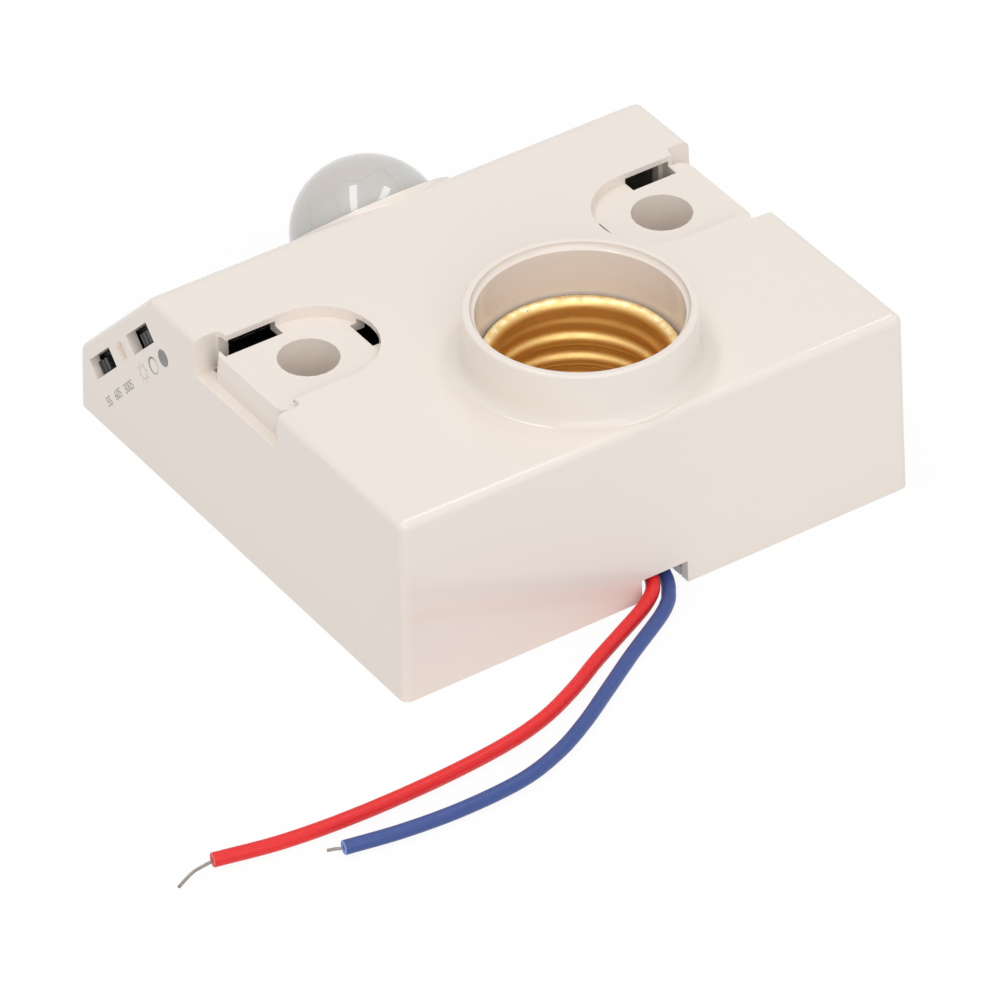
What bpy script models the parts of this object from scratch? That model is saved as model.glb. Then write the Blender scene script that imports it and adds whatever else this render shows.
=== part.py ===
"""Screw-in lamp holder with a motion sensor, on a flat square base that screws to a wall or ceiling.

The object lies on its back: the origin is the middle of the footprint on the back face, +X runs
along the cable side, +Y points at the sensor end and +Z is the side that faces the room.
Sizes are in metres, written as millimetres times MM.
"""
import math

import bmesh
import bpy
from mathutils import Matrix, Vector

MM = 0.001
GAP = 0.3 * MM          # clearance between pieces that touch
LOOSE = 0.35 * MM        # extra radius of a hole round the round piece in it

# Housing envelope: a drafted box with a sloping sensor face at the rear
BASE_X = 90.0 * MM
BASE_Y = 89.4 * MM
DRAFT_X = 0.82 * MM     # inset of each side face at full height
DRAFT_Y = 0.71 * MM
REAR_Z = 10.87 * MM     # height of the upright rear wall
SLOPE_TILT = math.radians(45.143)
EDGE_R = 1.35 * MM
WALL = 1.7 * MM
TOP_WALL = 1.4 * MM

# Lens, its raised seat and the sensor face that just holds the seat
LENS_R = 12.0 * MM
LENS_T = 0.6 * MM
LENS_CENTRE_DEPTH = 1.83 * MM
LENS_FLANGE_WIDTH = 1.8 * MM
LENS_FLANGE_T = 1.0 * MM
SEAT_RING_WIDTH = 2.8 * MM
SEAT_RING_H = 0.8 * MM
SEAT_RING_R = LENS_R + SEAT_RING_WIDTH
SEAT_RUNOUT = 0.584 * MM         # how far the seat ring runs past the edges of the face
LENS_SHIFT = 0.26 * MM           # lens centre above the middle of the face
SLOPE_LENGTH = 2 * SEAT_RING_R - SEAT_RUNOUT
HEIGHT = REAR_Z + SLOPE_LENGTH * math.sin(SLOPE_TILT)

# Lamp socket: rolled screw shell of the common 27 mm size in an insulating cup
THREAD_PITCH = 3.629 * MM
THREAD_CREST_R = 12.35 * MM
THREAD_DEPTH = 1.0 * MM
THREAD_TOP_DROP = 1.44 * MM      # thread top below the top of the housing
THREAD_END_Z = 15.6 * MM
THREAD_CREST_DROP = 5.17 * MM    # a crest at THREAD_CREST_ANGLE, below the top of the housing
THREAD_CREST_ANGLE = math.radians(56.9)
SHELL_T = 0.35 * MM
SHELL_LIP_INSET = 0.65 * MM
CUP_WALL = 1.17 * MM
CUP_BOTTOM_Z = 5.0 * MM
CUP_FLOOR_T = 2.2 * MM
LUG_CLEAR = 0.16 * MM
LUG_Z = 13.2 * MM
LUG_T = 2.4 * MM
LUG_WIDTH = 7.0 * MM
RIVET_R = 0.9 * MM
RIVET_HEAD_R = 1.6 * MM
RIVET_HEAD_H = 0.75 * MM
SHELL_RIVET_INSET = 2.05 * MM
SHELL_FLOOR_RIM = 0.7 * MM
CONTACT_RIVET_X = -5.0 * MM
CONTACT_WIDTH = 5.0 * MM
CONTACT_T = 0.4 * MM
CONTACT_RISE = 3.1 * MM
CONTACT_SETBACK = 2.5 * MM
THREAD_OUTER_R = THREAD_CREST_R + THREAD_DEPTH + SHELL_T
CUP_INNER_R = THREAD_OUTER_R + LOOSE
CUP_R = CUP_INNER_R + CUP_WALL
SHELL_RIVET_X = THREAD_CREST_R - SHELL_RIVET_INSET
SHELL_FLOOR_R = SHELL_RIVET_X - RIVET_HEAD_R - SHELL_FLOOR_RIM

# Collar round the lamp mouth
BORE_R = CUP_R + GAP
MOUTH_STEP = 0.45 * MM
MOUTH_DEPTH = 1.73 * MM
COLLAR_WALL = 1.82 * MM
COLLAR_RISE = 8.79 * MM
RIM_ROUND = 0.5 * MM
FOOT_WIDTH = 1.5 * MM
FOOT_HEIGHT = 2.6 * MM
SKIRT_DROP = 3.94 * MM  # lower end of the collar's inner skirt below the top of the housing
COLLAR_MARGIN = 2.76 * MM        # collar to the front foot of the housing
MOUTH_R = BORE_R + MOUTH_STEP
COLLAR_R = BORE_R + COLLAR_WALL
COLLAR_Y = COLLAR_R + COLLAR_MARGIN - BASE_Y / 2
RIM_Z = HEIGHT + COLLAR_RISE
SKIRT_Z = HEIGHT - SKIRT_DROP

# Two recesses with a screw well each, one on either side
WELL_INSET = 13.5 * MM  # well centre to the side foot of the housing
WELL_R = 4.71 * MM
WELL_WALL = 1.5 * MM
SEAT_T = 2.0 * MM
WALL_SCREW_R = 2.2 * MM
RECESS_ARC_SHIFT = 1.5 * MM
RECESS_DEPTH = 1.8 * MM
RECESS_WALL = 1.4 * MM
NOTCH_INSET = 5.1 * MM  # where the recess widens into the notch of the side wall
NOTCH_WIDER = 1.8 * MM
NOTCH_DEPTH = 6.44 * MM
NOTCH_FILLET = 0.9 * MM
PLATEAU_INSET = 3.1 * MM
PLATEAU_CORNER = 2.0 * MM
PLATEAU_DRAFT = 0.6 * MM
SLOT_START = 1.3 * MM
SLOT_INSET = 5.85 * MM
LONG_SLOT_INSET = 3.7 * MM       # the rear slot on the left reaches under the notch
SLOT_WIDTH = 2.2 * MM
FRONT_SLOT_WIDTH = 1.7 * MM      # the slots on the front side are narrower
SLOT_TO_WELL = 0.99 * MM
SLOT_PAST_WALL = 0.2 * MM        # the slots open under the top plate, just past the recess wall
LIP_T = 0.94 * MM       # top plate left over a slot
APEX_SLOT_SHIFT = 7.7 * MM
APEX_SLOT_HALF = 3.1 * MM
TUBE_R = WELL_R + WELL_WALL
WELL_X = BASE_X / 2 - WELL_INSET
RECESS_ARC_X = WELL_X - RECESS_ARC_SHIFT
RECESS_R = TUBE_R + SLOT_TO_WELL + SLOT_WIDTH
NOTCH_X = BASE_X / 2 - NOTCH_INSET
NOTCH_HALF = RECESS_R + NOTCH_WIDER
PLATEAU_X = BASE_X / 2 - PLATEAU_INSET
SLOT_IN_X = RECESS_ARC_X + SLOT_START
SLOT_OUT_X = BASE_X / 2 - SLOT_INSET
LONG_SLOT_OUT_X = BASE_X / 2 - LONG_SLOT_INSET
SLOT_BACK = RECESS_R + RECESS_WALL + SLOT_PAST_WALL
APEX_SLOT_X = RECESS_ARC_X - APEX_SLOT_SHIFT

# Setting windows: places along the slope count down from its upper edge, depths from its surface
WINDOW_LENGTH = 8.1 * MM
WINDOW_WIDTH = 3.2 * MM
WINDOW_DEPTH = 4.4 * MM
TIME_SETBACK = 5.45 * MM         # time window to the lower edge of the slope
LUX_ALONG = 8.13 * MM
DIMPLE_R = 1.55 * MM
DIMPLE_DEPTH = 0.8 * MM
LENS_ALONG = SLOPE_LENGTH / 2 - LENS_SHIFT
TIME_ALONG = SLOPE_LENGTH - TIME_SETBACK
DIMPLE_ALONG = (TIME_ALONG + LUX_ALONG) / 2

# Back cover
COVER_T = 1.6 * MM
CABLE_NOTCH_LEFT = -3.33 * MM
CABLE_NOTCH_RIGHT = 4.85 * MM
CABLE_NOTCH_Z = 3.8 * MM
COVER_NOTCH_REACH = 8.5 * MM
CORNER_INSET_X = 6.7 * MM
CORNER_INSET_Y = 6.6 * MM
CORNER_X = BASE_X / 2 - CORNER_INSET_X
CORNER_Y = BASE_Y / 2 - CORNER_INSET_Y
DIMPLE_PLATE_R = 4.0 * MM
DIMPLE_PLATE_H = 3.4 * MM
TONGUE_INSET = 20.0 * MM
TONGUE_WIDTH = 6.0 * MM
TONGUE_REACH = 1.0 * MM
TONGUE_X = BASE_X / 2 - TONGUE_INSET

# Self-tapping screws
SCREW_R = 1.25 * MM
HEAD_R = 2.5 * MM
HEAD_H = 1.4 * MM
BOSS_R = 2.9 * MM
SLIM_BOSS_R = 2.5 * MM
COVER_SCREW_LENGTH = 9.5 * MM
SOCKET_SCREW_LENGTH = 9.0 * MM
BOARD_SCREW_LENGTH = 8.0 * MM
SENSOR_SCREW_LENGTH = 5.2 * MM
LUG_X = COLLAR_R + BOSS_R + LUG_CLEAR

# Sensor board, parallel to the slope
SENSOR_BOARD_DEPTH = 6.9 * MM
SENSOR_BOARD_T = 1.2 * MM
SENSOR_BOARD_UNDER = SENSOR_BOARD_DEPTH + SENSOR_BOARD_T
SENSOR_BOARD_INSET = 3.0 * MM
SENSOR_BOARD_MARGIN = 4.3 * MM   # board edge beyond the right screw
SENSOR_BOARD_TOP = 2.6 * MM
SENSOR_BOARD_SETBACK = 1.6 * MM
SENSOR_BOSS_CLEAR = 3.5 * MM     # screw centre beyond the seat ring
RING_INNER_STEP = 1.0 * MM
RING_OUTER_STEP = 3.0 * MM
RING_T = 1.4 * MM
EAR_WALL = 1.4 * MM
PIR_R = 4.1 * MM
PIR_FLANGE_R = 4.6 * MM
PIR_FLANGE_T = 0.4 * MM
PIR_HEIGHT = 4.0 * MM
CELL_CLEAR = 0.8 * MM            # photocell to the sensor's flange and to the lens ring
CELL_HEIGHT = 2.2 * MM
SWITCH_REACH = 7.0 * MM         # switch body, from the side wall inwards
SWITCH_CLEAR = 0.5 * MM         # switch body to the side wall and to the slope
KNOB_TRAVEL = 4.0 * MM
KNOB_WIDTH = 2.0 * MM
KNOB_SUNK = 1.0 * MM            # knob face below the side of the housing
KNOB_ROOT = 4.3 * MM            # knob's reach inside the switch body
SENSOR_BOSS_X = SEAT_RING_R + SENSOR_BOSS_CLEAR
SENSOR_BOARD_LEFT = SENSOR_BOARD_INSET - BASE_X / 2
SENSOR_BOARD_RIGHT = SENSOR_BOSS_X + SENSOR_BOARD_MARGIN
SENSOR_BOARD_END = SLOPE_LENGTH - SENSOR_BOARD_SETBACK
RING_INNER_R = LENS_R - RING_INNER_STEP
RING_OUTER_R = LENS_R + RING_OUTER_STEP
CELL_R = (RING_INNER_R - PIR_FLANGE_R) / 2 - CELL_CLEAR
CELL_X = (RING_INNER_R + PIR_FLANGE_R) / 2
EAR_R = SLIM_BOSS_R + GAP + EAR_WALL

# Main board and what it carries; places count from the edges of the board
BOARD_T = 1.6 * MM
BOARD_Z = 4.5 * MM
BOARD_TOP_Z = BOARD_Z + BOARD_T
BOARD_INSET = 2.2 * MM
BOARD_CLEAR = 1.8 * MM           # front edge to the screw wells
BOARD_SETBACK = 0.58 * MM        # rear edge to the underside of the sensor board
BOARD_HALF_X = BASE_X / 2 - BOARD_INSET
BOARD_FRONT_Y = TUBE_R + BOARD_CLEAR
BOARD_BOSS_INSET = 2.6 * MM
BOARD_BOSS_FRONT = 6.0 * MM
BOARD_BOSS_SETBACK = 5.9 * MM
BOARD_BOSS_H = 8.4 * MM
RELAY_X = 15.6 * MM
RELAY_Y = 6.1 * MM
RELAY_LENGTH = 18.4 * MM
RELAY_WIDTH = 10.2 * MM
RELAY_HEADROOM = 3.37 * MM       # free height under the plane of the sensor board
FILM_SIZE = (17.5 * MM, 7.0 * MM, 12.5 * MM)
FILM_X = 18.8 * MM
FILM_Y = 5.0 * MM
SUPPLY_R = 4.0 * MM
SUPPLY_H = 12.0 * MM
SUPPLY_X = 14.3 * MM
SUPPLY_Y = 13.1 * MM
FILTER_R = 2.6 * MM
FILTER_H = 6.0 * MM
FILTER_X = 25.3 * MM
FILTER_Y = 11.6 * MM
BRIDGE_SIZE = (8.4 * MM, 6.4 * MM, 3.2 * MM)
BRIDGE_X = 26.8 * MM
BRIDGE_Y = 15.4 * MM
VARISTOR_R = 4.6 * MM
VARISTOR_T = 3.4 * MM
VARISTOR_X = -1.0 * MM
VARISTOR_Y = 4.6 * MM
RESISTOR_R = 1.3 * MM
RESISTOR_LENGTH = 7.0 * MM
RESISTOR_X = 12.8 * MM
RESISTOR_Y = 15.0 * MM
RESISTOR_SPAN = 12.0 * MM
LEAD_R = 0.4 * MM
LINK_WIDTH = 10.2 * MM
LINK_T = 2.5 * MM
LINK_X = 6.5 * MM
LINK_SETBACK = 12.9 * MM         # from the rear edge of the board, like the sensor board it meets
CHIP_SIZE = (9.9 * MM, 3.9 * MM, 1.4 * MM)
CHIP_X = 27.8 * MM
CHIP_Y = 16.0 * MM

# Wires: the routes are in millimetres, with y counted from the front foot of the housing
WIRE_R = 1.1 * MM
CORE_R = 0.24 * MM
LEAD_WIRE_R = 0.8 * MM
LEAD_OVERLAP = 4.5 * MM          # length of a lead under the board
SUPPLY_LEAD_REACH = 4.0 * MM     # straight length in front of the board
SOCKET_LEAD_REACH = 8.0 * MM
LINE_LEAD_X = -2.6 * MM
NEUTRAL_LEAD_X = 2.4 * MM
CONTACT_LEAD_X = -7.6 * MM
SHELL_LEAD_X = 8.2 * MM
LINE_LEAD_BEND = [(-2.3, 36.7), (-1.8, 22.7), (-0.2, 9.7)]
LINE_LEAD_END = [(0.3, 4.7, 2.95), (-0.3, 2.5, 2.55), (-0.58, 1.8, 2.42)]
LINE_ROUTE = [
    (-0.75, 1.4, 2.35), (-1.2, 0.4, 2.2), (-2.1, -0.8, 1.95), (-3.6, -1.9, 1.6), (-6.0, -3.2, 1.3),
    (-10.7, -5.4, 1.12), (-17.4, -8.7, 1.12), (-24.1, -12.3, 1.12), (-31.5, -15.4, 1.12),
    (-40.0, -17.2, 1.12), (-52.0, -18.1, 1.12), (-65.2, -18.05, 1.12), (-76.7, -17.0, 1.12),
    (-87.1, -14.7, 1.12),
]
LINE_CORE_ROUTE = [
    (-87.52, -14.85, 1.1), (-88.8, -14.9, 1.0), (-90.3, -14.9, 0.8), (-92.05, -15.4, 0.5),
    (-93.7, -16.1, 0.3),
]
NEUTRAL_LEAD_BEND = [(2.0, 36.7), (1.8, 22.7), (2.9, 11.7)]
NEUTRAL_LEAD_END = [(3.1, 6.7, 2.6), (2.25, 2.7, 1.65), (1.98, 1.85, 1.52)]
NEUTRAL_ROUTE = [
    (1.8, 1.4, 1.45), (1.25, 0.0, 1.25), (0.3, -1.5, 1.12), (-1.2, -3.4, 1.12), (-4.4, -5.8, 1.12),
    (-12.3, -10.4, 1.12), (-19.8, -15.1, 1.12), (-27.1, -19.6, 1.12), (-33.8, -22.9, 1.12),
    (-41.5, -25.1, 1.12), (-51.7, -25.6, 1.12), (-61.5, -24.8, 1.12), (-70.5, -23.1, 1.12),
]
NEUTRAL_CORE_ROUTE = [(-70.85, -23.0, 1.1), (-71.7, -22.5, 1.05), (-72.75, -22.1, 1.0)]
CONTACT_LEAD_BEND = [(CONTACT_RIVET_X / MM - 0.2, 22.3), (-6.2, 32.7)]
SHELL_LEAD_BEND = [(SHELL_RIVET_X / MM, 22.3), (9.6, 32.7)]

# Facets round a full turn
FINE_FACETS = 40
ROUND_FACETS = 20
SMALL_FACETS = 10
SHELL_FACETS = 24
EPS = 1.0 * MM          # how far a cutter runs past the face it opens


# Housing geometry that several pieces share

def side_x(z, inset=0.0):
    """Half width of the housing at height z."""
    return BASE_X / 2 - DRAFT_X * z / HEIGHT - inset


def front_y(z, inset=0.0):
    return -BASE_Y / 2 + DRAFT_Y * z / HEIGHT + inset


def rear_y(z, inset=0.0):
    return BASE_Y / 2 - DRAFT_Y * z / HEIGHT - inset


SLOPE_DOWN = Vector((0.0, math.cos(SLOPE_TILT), -math.sin(SLOPE_TILT)))
SLOPE_FOOT = Vector((0.0, rear_y(REAR_Z), REAR_Z))
SLOPE_TOP = SLOPE_FOOT - SLOPE_DOWN * SLOPE_LENGTH
SLOPE_OUT = Vector((1.0, 0.0, 0.0)).cross(SLOPE_DOWN)


def on_slope(x=0.0, along=0.0, height=0.0):
    """Frame on the sensor face: its x is the object's, its y runs down the slope, its z out of it."""
    turn = Matrix(((1.0, 0.0, 0.0), SLOPE_DOWN, SLOPE_OUT)).transposed().to_4x4()
    return Matrix.Translation(SLOPE_TOP) @ turn @ Matrix.Translation((x, along, height))


def slope_z(y, depth):
    """Height of the plane that lies at a depth under the sensor face, above the point y."""
    return HEIGHT - (depth + SLOPE_OUT.y * (y - SLOPE_TOP.y)) / SLOPE_OUT.z


def slope_y(z, depth):
    """Where the plane that lies at a depth under the sensor face reaches down to height z."""
    return SLOPE_TOP.y + ((HEIGHT - z) * SLOPE_OUT.z - depth) / SLOPE_OUT.y


def board_spot(x, y, side=0):
    """Point on the main board: x from its left or right edge, or from the middle, y from its front."""
    return (side * (BOARD_HALF_X - x) if side else x, BOARD_FRONT_Y + y)


PLATEAU_Z = HEIGHT - RECESS_DEPTH
LEDGE_Z = HEIGHT - NOTCH_DEPTH
SLOT_TOP_Z = HEIGHT - LIP_T
TUBE_BOTTOM_Z = COVER_T + GAP
THREAD_TOP_Z = HEIGHT - THREAD_TOP_DROP
THREAD_CREST_Z = HEIGHT - THREAD_CREST_DROP
SHELL_LIP_R = BORE_R - SHELL_LIP_INSET
CUP_TOP_Z = THREAD_TOP_Z - GAP
CUP_FLOOR_Z = CUP_BOTTOM_Z + CUP_FLOOR_T
SHELL_FLOOR_Z = CUP_FLOOR_Z + GAP
HOLE_R = SCREW_R + LOOSE
KNOB_LENGTH = WINDOW_LENGTH - KNOB_TRAVEL - 2 * GAP
KNOB_DEPTH = WINDOW_DEPTH + (WINDOW_WIDTH - KNOB_WIDTH) / 2 - GAP
SWITCH_WALL = 0.7 * MM
SWITCH_HALF_LENGTH = (KNOB_TRAVEL + KNOB_LENGTH) / 2 + GAP + SWITCH_WALL
BOARD_REAR_Y = slope_y(BOARD_TOP_Z + GAP, SENSOR_BOARD_UNDER) - BOARD_SETBACK
BOARD_BOSS_X = BOARD_HALF_X - BOARD_BOSS_INSET
BOARD_BOSS_NEAR_Y = BOARD_FRONT_Y + BOARD_BOSS_FRONT
BOARD_BOSS_FAR_Y = BOARD_REAR_Y - BOARD_BOSS_SETBACK
BOARD_BOSSES = {
    "1": (BOARD_BOSS_X, BOARD_BOSS_NEAR_Y), "2": (-BOARD_BOSS_X, BOARD_BOSS_NEAR_Y),
    "3": (BOARD_BOSS_X, BOARD_BOSS_FAR_Y),
}
RELAY_AT = board_spot(RELAY_X, RELAY_Y, -1)
RELAY_TOP_Z = slope_z(RELAY_AT[1] + RELAY_WIDTH / 2, SENSOR_BOARD_UNDER) - RELAY_HEADROOM
RELAY_SIZE = (RELAY_LENGTH, RELAY_WIDTH, RELAY_TOP_Z - BOARD_TOP_Z - GAP)
FILM_AT = board_spot(FILM_X, FILM_Y, 1)
SUPPLY_AT = board_spot(SUPPLY_X, SUPPLY_Y, 1)
FILTER_AT = board_spot(FILTER_X, FILTER_Y, 1)
BRIDGE_AT = board_spot(BRIDGE_X, BRIDGE_Y, -1)
VARISTOR_AT = board_spot(VARISTOR_X, VARISTOR_Y)
RESISTOR_AT = board_spot(RESISTOR_X, RESISTOR_Y, -1)
LINK_AT = (LINK_X, BOARD_REAR_Y - LINK_SETBACK)
CHIP_AT = board_spot(CHIP_X, CHIP_Y, -1)
WIRE_INNER_Z = BOARD_Z - GAP - WIRE_R
LEAD_WIRE_Z = BOARD_Z - GAP - LEAD_WIRE_R


# Mesh building

SMOOTH_ANGLE = math.radians(32.0)


def material(name, colour, roughness, metallic=0.0):
    finish = bpy.data.materials.new(name)
    finish.use_nodes = True
    shader = finish.node_tree.nodes["Principled BSDF"]
    shader.inputs["Base Color"].default_value = (*colour, 1.0)
    shader.inputs["Roughness"].default_value = roughness
    shader.inputs["Metallic"].default_value = metallic
    return finish


def add_loft(bm, low_ring, high_ring):
    """Closed solid between two rings of points that run the same way round."""
    low = [bm.verts.new(p) for p in low_ring]
    high = [bm.verts.new(p) for p in high_ring]
    bm.faces.new(low)
    bm.faces.new(high)
    for i in range(len(low)):
        j = (i + 1) % len(low)
        bm.faces.new((low[i], low[j], high[j], high[i]))
    return low + high


def add_prism(bm, outline, bottom, top, top_outline=None):
    """Upright solid on an outline of (x, y) points."""
    upper = top_outline or outline
    return add_loft(bm, [(x, y, bottom) for x, y in outline], [(x, y, top) for x, y in upper])


def add_box(bm, low, high):
    outline = [(low[0], low[1]), (high[0], low[1]), (high[0], high[1]), (low[0], high[1])]
    return add_prism(bm, outline, low[2], high[2])


def add_centred_box(bm, size, bottom, at=(0.0, 0.0)):
    half_x, half_y = size[0] / 2, size[1] / 2
    low = (at[0] - half_x, at[1] - half_y, bottom)
    return add_box(bm, low, (at[0] + half_x, at[1] + half_y, bottom + size[2]))


def add_lathe(bm, profile, segments, at=(0.0, 0.0)):
    """Turned solid: the profile is a closed loop of (radius, z), or starts and ends on the axis."""
    rings = []
    for radius, z in profile:
        if radius == 0.0:
            rings.append([bm.verts.new((at[0], at[1], z))])
            continue
        ring = []
        for i in range(segments):
            angle = 2 * math.pi * i / segments
            ring.append(bm.verts.new((at[0] + radius * math.cos(angle), at[1] + radius * math.sin(angle), z)))
        rings.append(ring)
    spans = list(zip(rings, rings[1:]))
    if len(rings[0]) > 1:
        spans.append((rings[-1], rings[0]))
    for first, second in spans:
        for i in range(segments):
            j = (i + 1) % segments
            if len(first) == 1:
                bm.faces.new((first[0], second[j], second[i]))
            elif len(second) == 1:
                bm.faces.new((first[i], first[j], second[0]))
            else:
                bm.faces.new((first[i], first[j], second[j], second[i]))
    return [v for ring in rings for v in ring]


def add_cylinder(bm, radius, bottom, top, segments=ROUND_FACETS, at=(0.0, 0.0)):
    outline = arc(at[0], at[1], radius, 0, 4, segments)[:-1]
    return add_prism(bm, outline, bottom, top)


def arc(centre_x, centre_y, radius, start, end, steps):
    """Points on an arc, with the angles in quarter turns."""
    points = []
    for i in range(steps + 1):
        angle = math.pi / 2 * (start + (end - start) * i / steps)
        points.append((centre_x + radius * math.cos(angle), centre_y + radius * math.sin(angle)))
    return points


def make_object(name, bm, finish=None, place=None):
    bmesh.ops.recalc_face_normals(bm, faces=bm.faces)
    mesh = bpy.data.meshes.new(name)
    bm.to_mesh(mesh)
    bm.free()
    mesh.shade_smooth()
    mesh.set_sharp_from_angle(angle=SMOOTH_ANGLE)
    thing = bpy.data.objects.new(name, mesh)
    bpy.context.scene.collection.objects.link(thing)
    if place is not None:
        thing.matrix_world = place
    if finish:
        mesh.materials.append(finish)
    return thing


def boolean(target, name, bm, operation="DIFFERENCE", place=None):
    """Cut the target by a shape that stays in the file as a hidden wire guide, or join it on."""
    tool = make_object(name, bm, None, place)
    tool.hide_render = True
    tool.display_type = "WIRE"
    step = target.modifiers.new(name, "BOOLEAN")
    step.operation = operation
    step.solver = "EXACT"
    step.object = tool
    return tool


# Housing

def wedge_profile(inset, top_inset, bottom):
    """Side view (y, z) of the housing body, each face moved in by its own inset."""
    ceiling = HEIGHT - top_inset
    start = SLOPE_TOP - SLOPE_OUT * inset
    to_ceiling = (ceiling - start.z) / SLOPE_DOWN.z
    lean = DRAFT_Y / HEIGHT
    to_rear = (rear_y(start.z, inset) - start.y) / (SLOPE_DOWN.y + lean * SLOPE_DOWN.z)
    upper = start + SLOPE_DOWN * to_ceiling
    lower = start + SLOPE_DOWN * to_rear
    return [
        (front_y(bottom, inset), bottom), (front_y(ceiling, inset), ceiling),
        (upper.y, upper.z), (lower.y, lower.z), (rear_y(bottom, inset), bottom),
    ]


def wedge(inset, top_inset, bottom, rounding=0.0):
    bm = bmesh.new()
    profile = wedge_profile(inset, top_inset, bottom)
    left = [(-side_x(z, inset), y, z) for y, z in profile]
    right = [(side_x(z, inset), y, z) for y, z in profile]
    add_loft(bm, left, right)
    if rounding:
        upper = [e for e in bm.edges if max(v.co.z for v in e.verts) > bottom + EPS]
        bmesh.ops.bevel(bm, geom=upper, offset=rounding, segments=3, profile=0.5, affect="EDGES")
    return bm


def collar_ring():
    """Collar with its stepped mouth, its filleted foot and the skirt that reaches into the housing."""
    step_z = RIM_Z - MOUTH_DEPTH
    profile = [(BORE_R, SKIRT_Z), (COLLAR_R, SKIRT_Z), (COLLAR_R, HEIGHT - EDGE_R)]
    steps = 5
    for i in range(steps + 1):
        angle = math.pi / 2 * (1 - i / steps)
        radius = COLLAR_R + FOOT_WIDTH * (1 - math.cos(angle))
        profile.append((radius, HEIGHT + FOOT_HEIGHT * (1 - math.sin(angle))))
    profile[3:4] = [(COLLAR_R + FOOT_WIDTH, HEIGHT - EDGE_R), (COLLAR_R + FOOT_WIDTH, HEIGHT)]
    profile.append((COLLAR_R, RIM_Z - RIM_ROUND))
    profile.append((COLLAR_R - RIM_ROUND * 0.3, RIM_Z - RIM_ROUND * 0.3))
    profile += [(COLLAR_R - RIM_ROUND, RIM_Z), (MOUTH_R, RIM_Z), (MOUTH_R, step_z), (BORE_R, step_z)]
    bm = bmesh.new()
    add_lathe(bm, profile, FINE_FACETS, (0.0, COLLAR_Y))
    return bm


def recess_outline(side, grow, reach):
    """Round-ended recess that opens towards one side of the housing."""
    radius = RECESS_R + grow
    rounded = arc(RECESS_ARC_X, 0.0, radius, 1, 3, 16)
    outline = [(reach, radius)] + rounded + [(reach, -radius)]
    return [(side * x, y) for x, y in outline]


def notch_outline(side, plateau_x):
    """Notch in the side wall that wraps round the end of the recess floor."""
    outer = BASE_X / 2 + EPS
    plateau_half = plateau_x - PLATEAU_X + RECESS_R - GAP
    corner_x = plateau_x - PLATEAU_CORNER
    corner_y = plateau_half - PLATEAU_CORNER
    inner_x = min(NOTCH_X, corner_x)
    fillet_y = NOTCH_HALF - NOTCH_FILLET
    outline = [(outer, NOTCH_HALF)]
    outline += arc(NOTCH_X + NOTCH_FILLET, fillet_y, NOTCH_FILLET, 1, 2, 4)
    outline += [(inner_x, plateau_half)]
    outline += arc(corner_x, corner_y, PLATEAU_CORNER, 0.94, 0, 4)
    mirrored = [(x, -y) for x, y in reversed(outline)]
    return [(side * x, y) for x, y in outline + mirrored]


def housing_islands():
    """Solid cores that stay inside the hollow: recess floors, screw wells and bosses."""
    cores = []
    for side in (-1, 1):
        recess = bmesh.new()
        floor_z = PLATEAU_Z - RECESS_WALL
        add_prism(recess, recess_outline(side, RECESS_WALL, BASE_X / 2), floor_z, HEIGHT + EPS)
        cores.append(recess)
        notch = bmesh.new()
        near = PLATEAU_X - RECESS_WALL
        half = NOTCH_HALF + RECESS_WALL
        bottom = LEDGE_Z - RECESS_WALL
        inner = NOTCH_X - RECESS_WALL
        shoulder = RECESS_R - SLOT_WIDTH / 2
        outline = [
            (near, -shoulder), (inner, -shoulder), (inner, -half), (BASE_X / 2, -half),
            (BASE_X / 2, half), (inner, half), (inner, shoulder), (near, shoulder),
        ]
        add_prism(notch, [(side * x, y) for x, y in outline], bottom, HEIGHT + EPS)
        cores.append(notch)
        tube = bmesh.new()
        add_cylinder(tube, TUBE_R, TUBE_BOTTOM_Z, HEIGHT, ROUND_FACETS, (side * WELL_X, 0.0))
        cores.append(tube)
    upright = bmesh.new()
    for side in (-1, 1):
        corner = (side * CORNER_X, -CORNER_Y)
        add_cylinder(upright, BOSS_R, DIMPLE_PLATE_H + GAP, HEIGHT, SMALL_FACETS, corner)
        add_cylinder(upright, BOSS_R, LUG_Z + LUG_T + GAP, HEIGHT, SMALL_FACETS, (side * LUG_X, COLLAR_Y))
    cores.append(upright)
    bosses = bmesh.new()
    for x, y in BOARD_BOSSES.values():
        side = math.copysign(1.0, x)
        outline = arc(abs(x), y, SLIM_BOSS_R, 1, 3, 8)
        outline += [(BASE_X / 2, y - SLIM_BOSS_R), (BASE_X / 2, y + SLIM_BOSS_R)]
        top = BOARD_TOP_Z + BOARD_BOSS_H
        add_prism(bosses, [(side * a, b) for a, b in outline], BOARD_TOP_Z + GAP, top)
    cores.append(bosses)
    return cores


def housing_hollow():
    hollow = make_object("hollow", wedge(WALL, TOP_WALL, -EPS))
    hollow.hide_render = True
    hollow.display_type = "WIRE"
    for number, core in enumerate(housing_islands(), 1):
        boolean(hollow, f"core_{number}", core)
    posts = bmesh.new()
    for side in (-1, 1):
        at = (side * SENSOR_BOSS_X, 0.0)
        add_cylinder(posts, SLIM_BOSS_R, GAP - SENSOR_BOARD_DEPTH, 0.0, SMALL_FACETS, at)
    boolean(hollow, "core_sensor_posts", posts, "DIFFERENCE", on_slope(along=LENS_ALONG))
    return hollow


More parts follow.
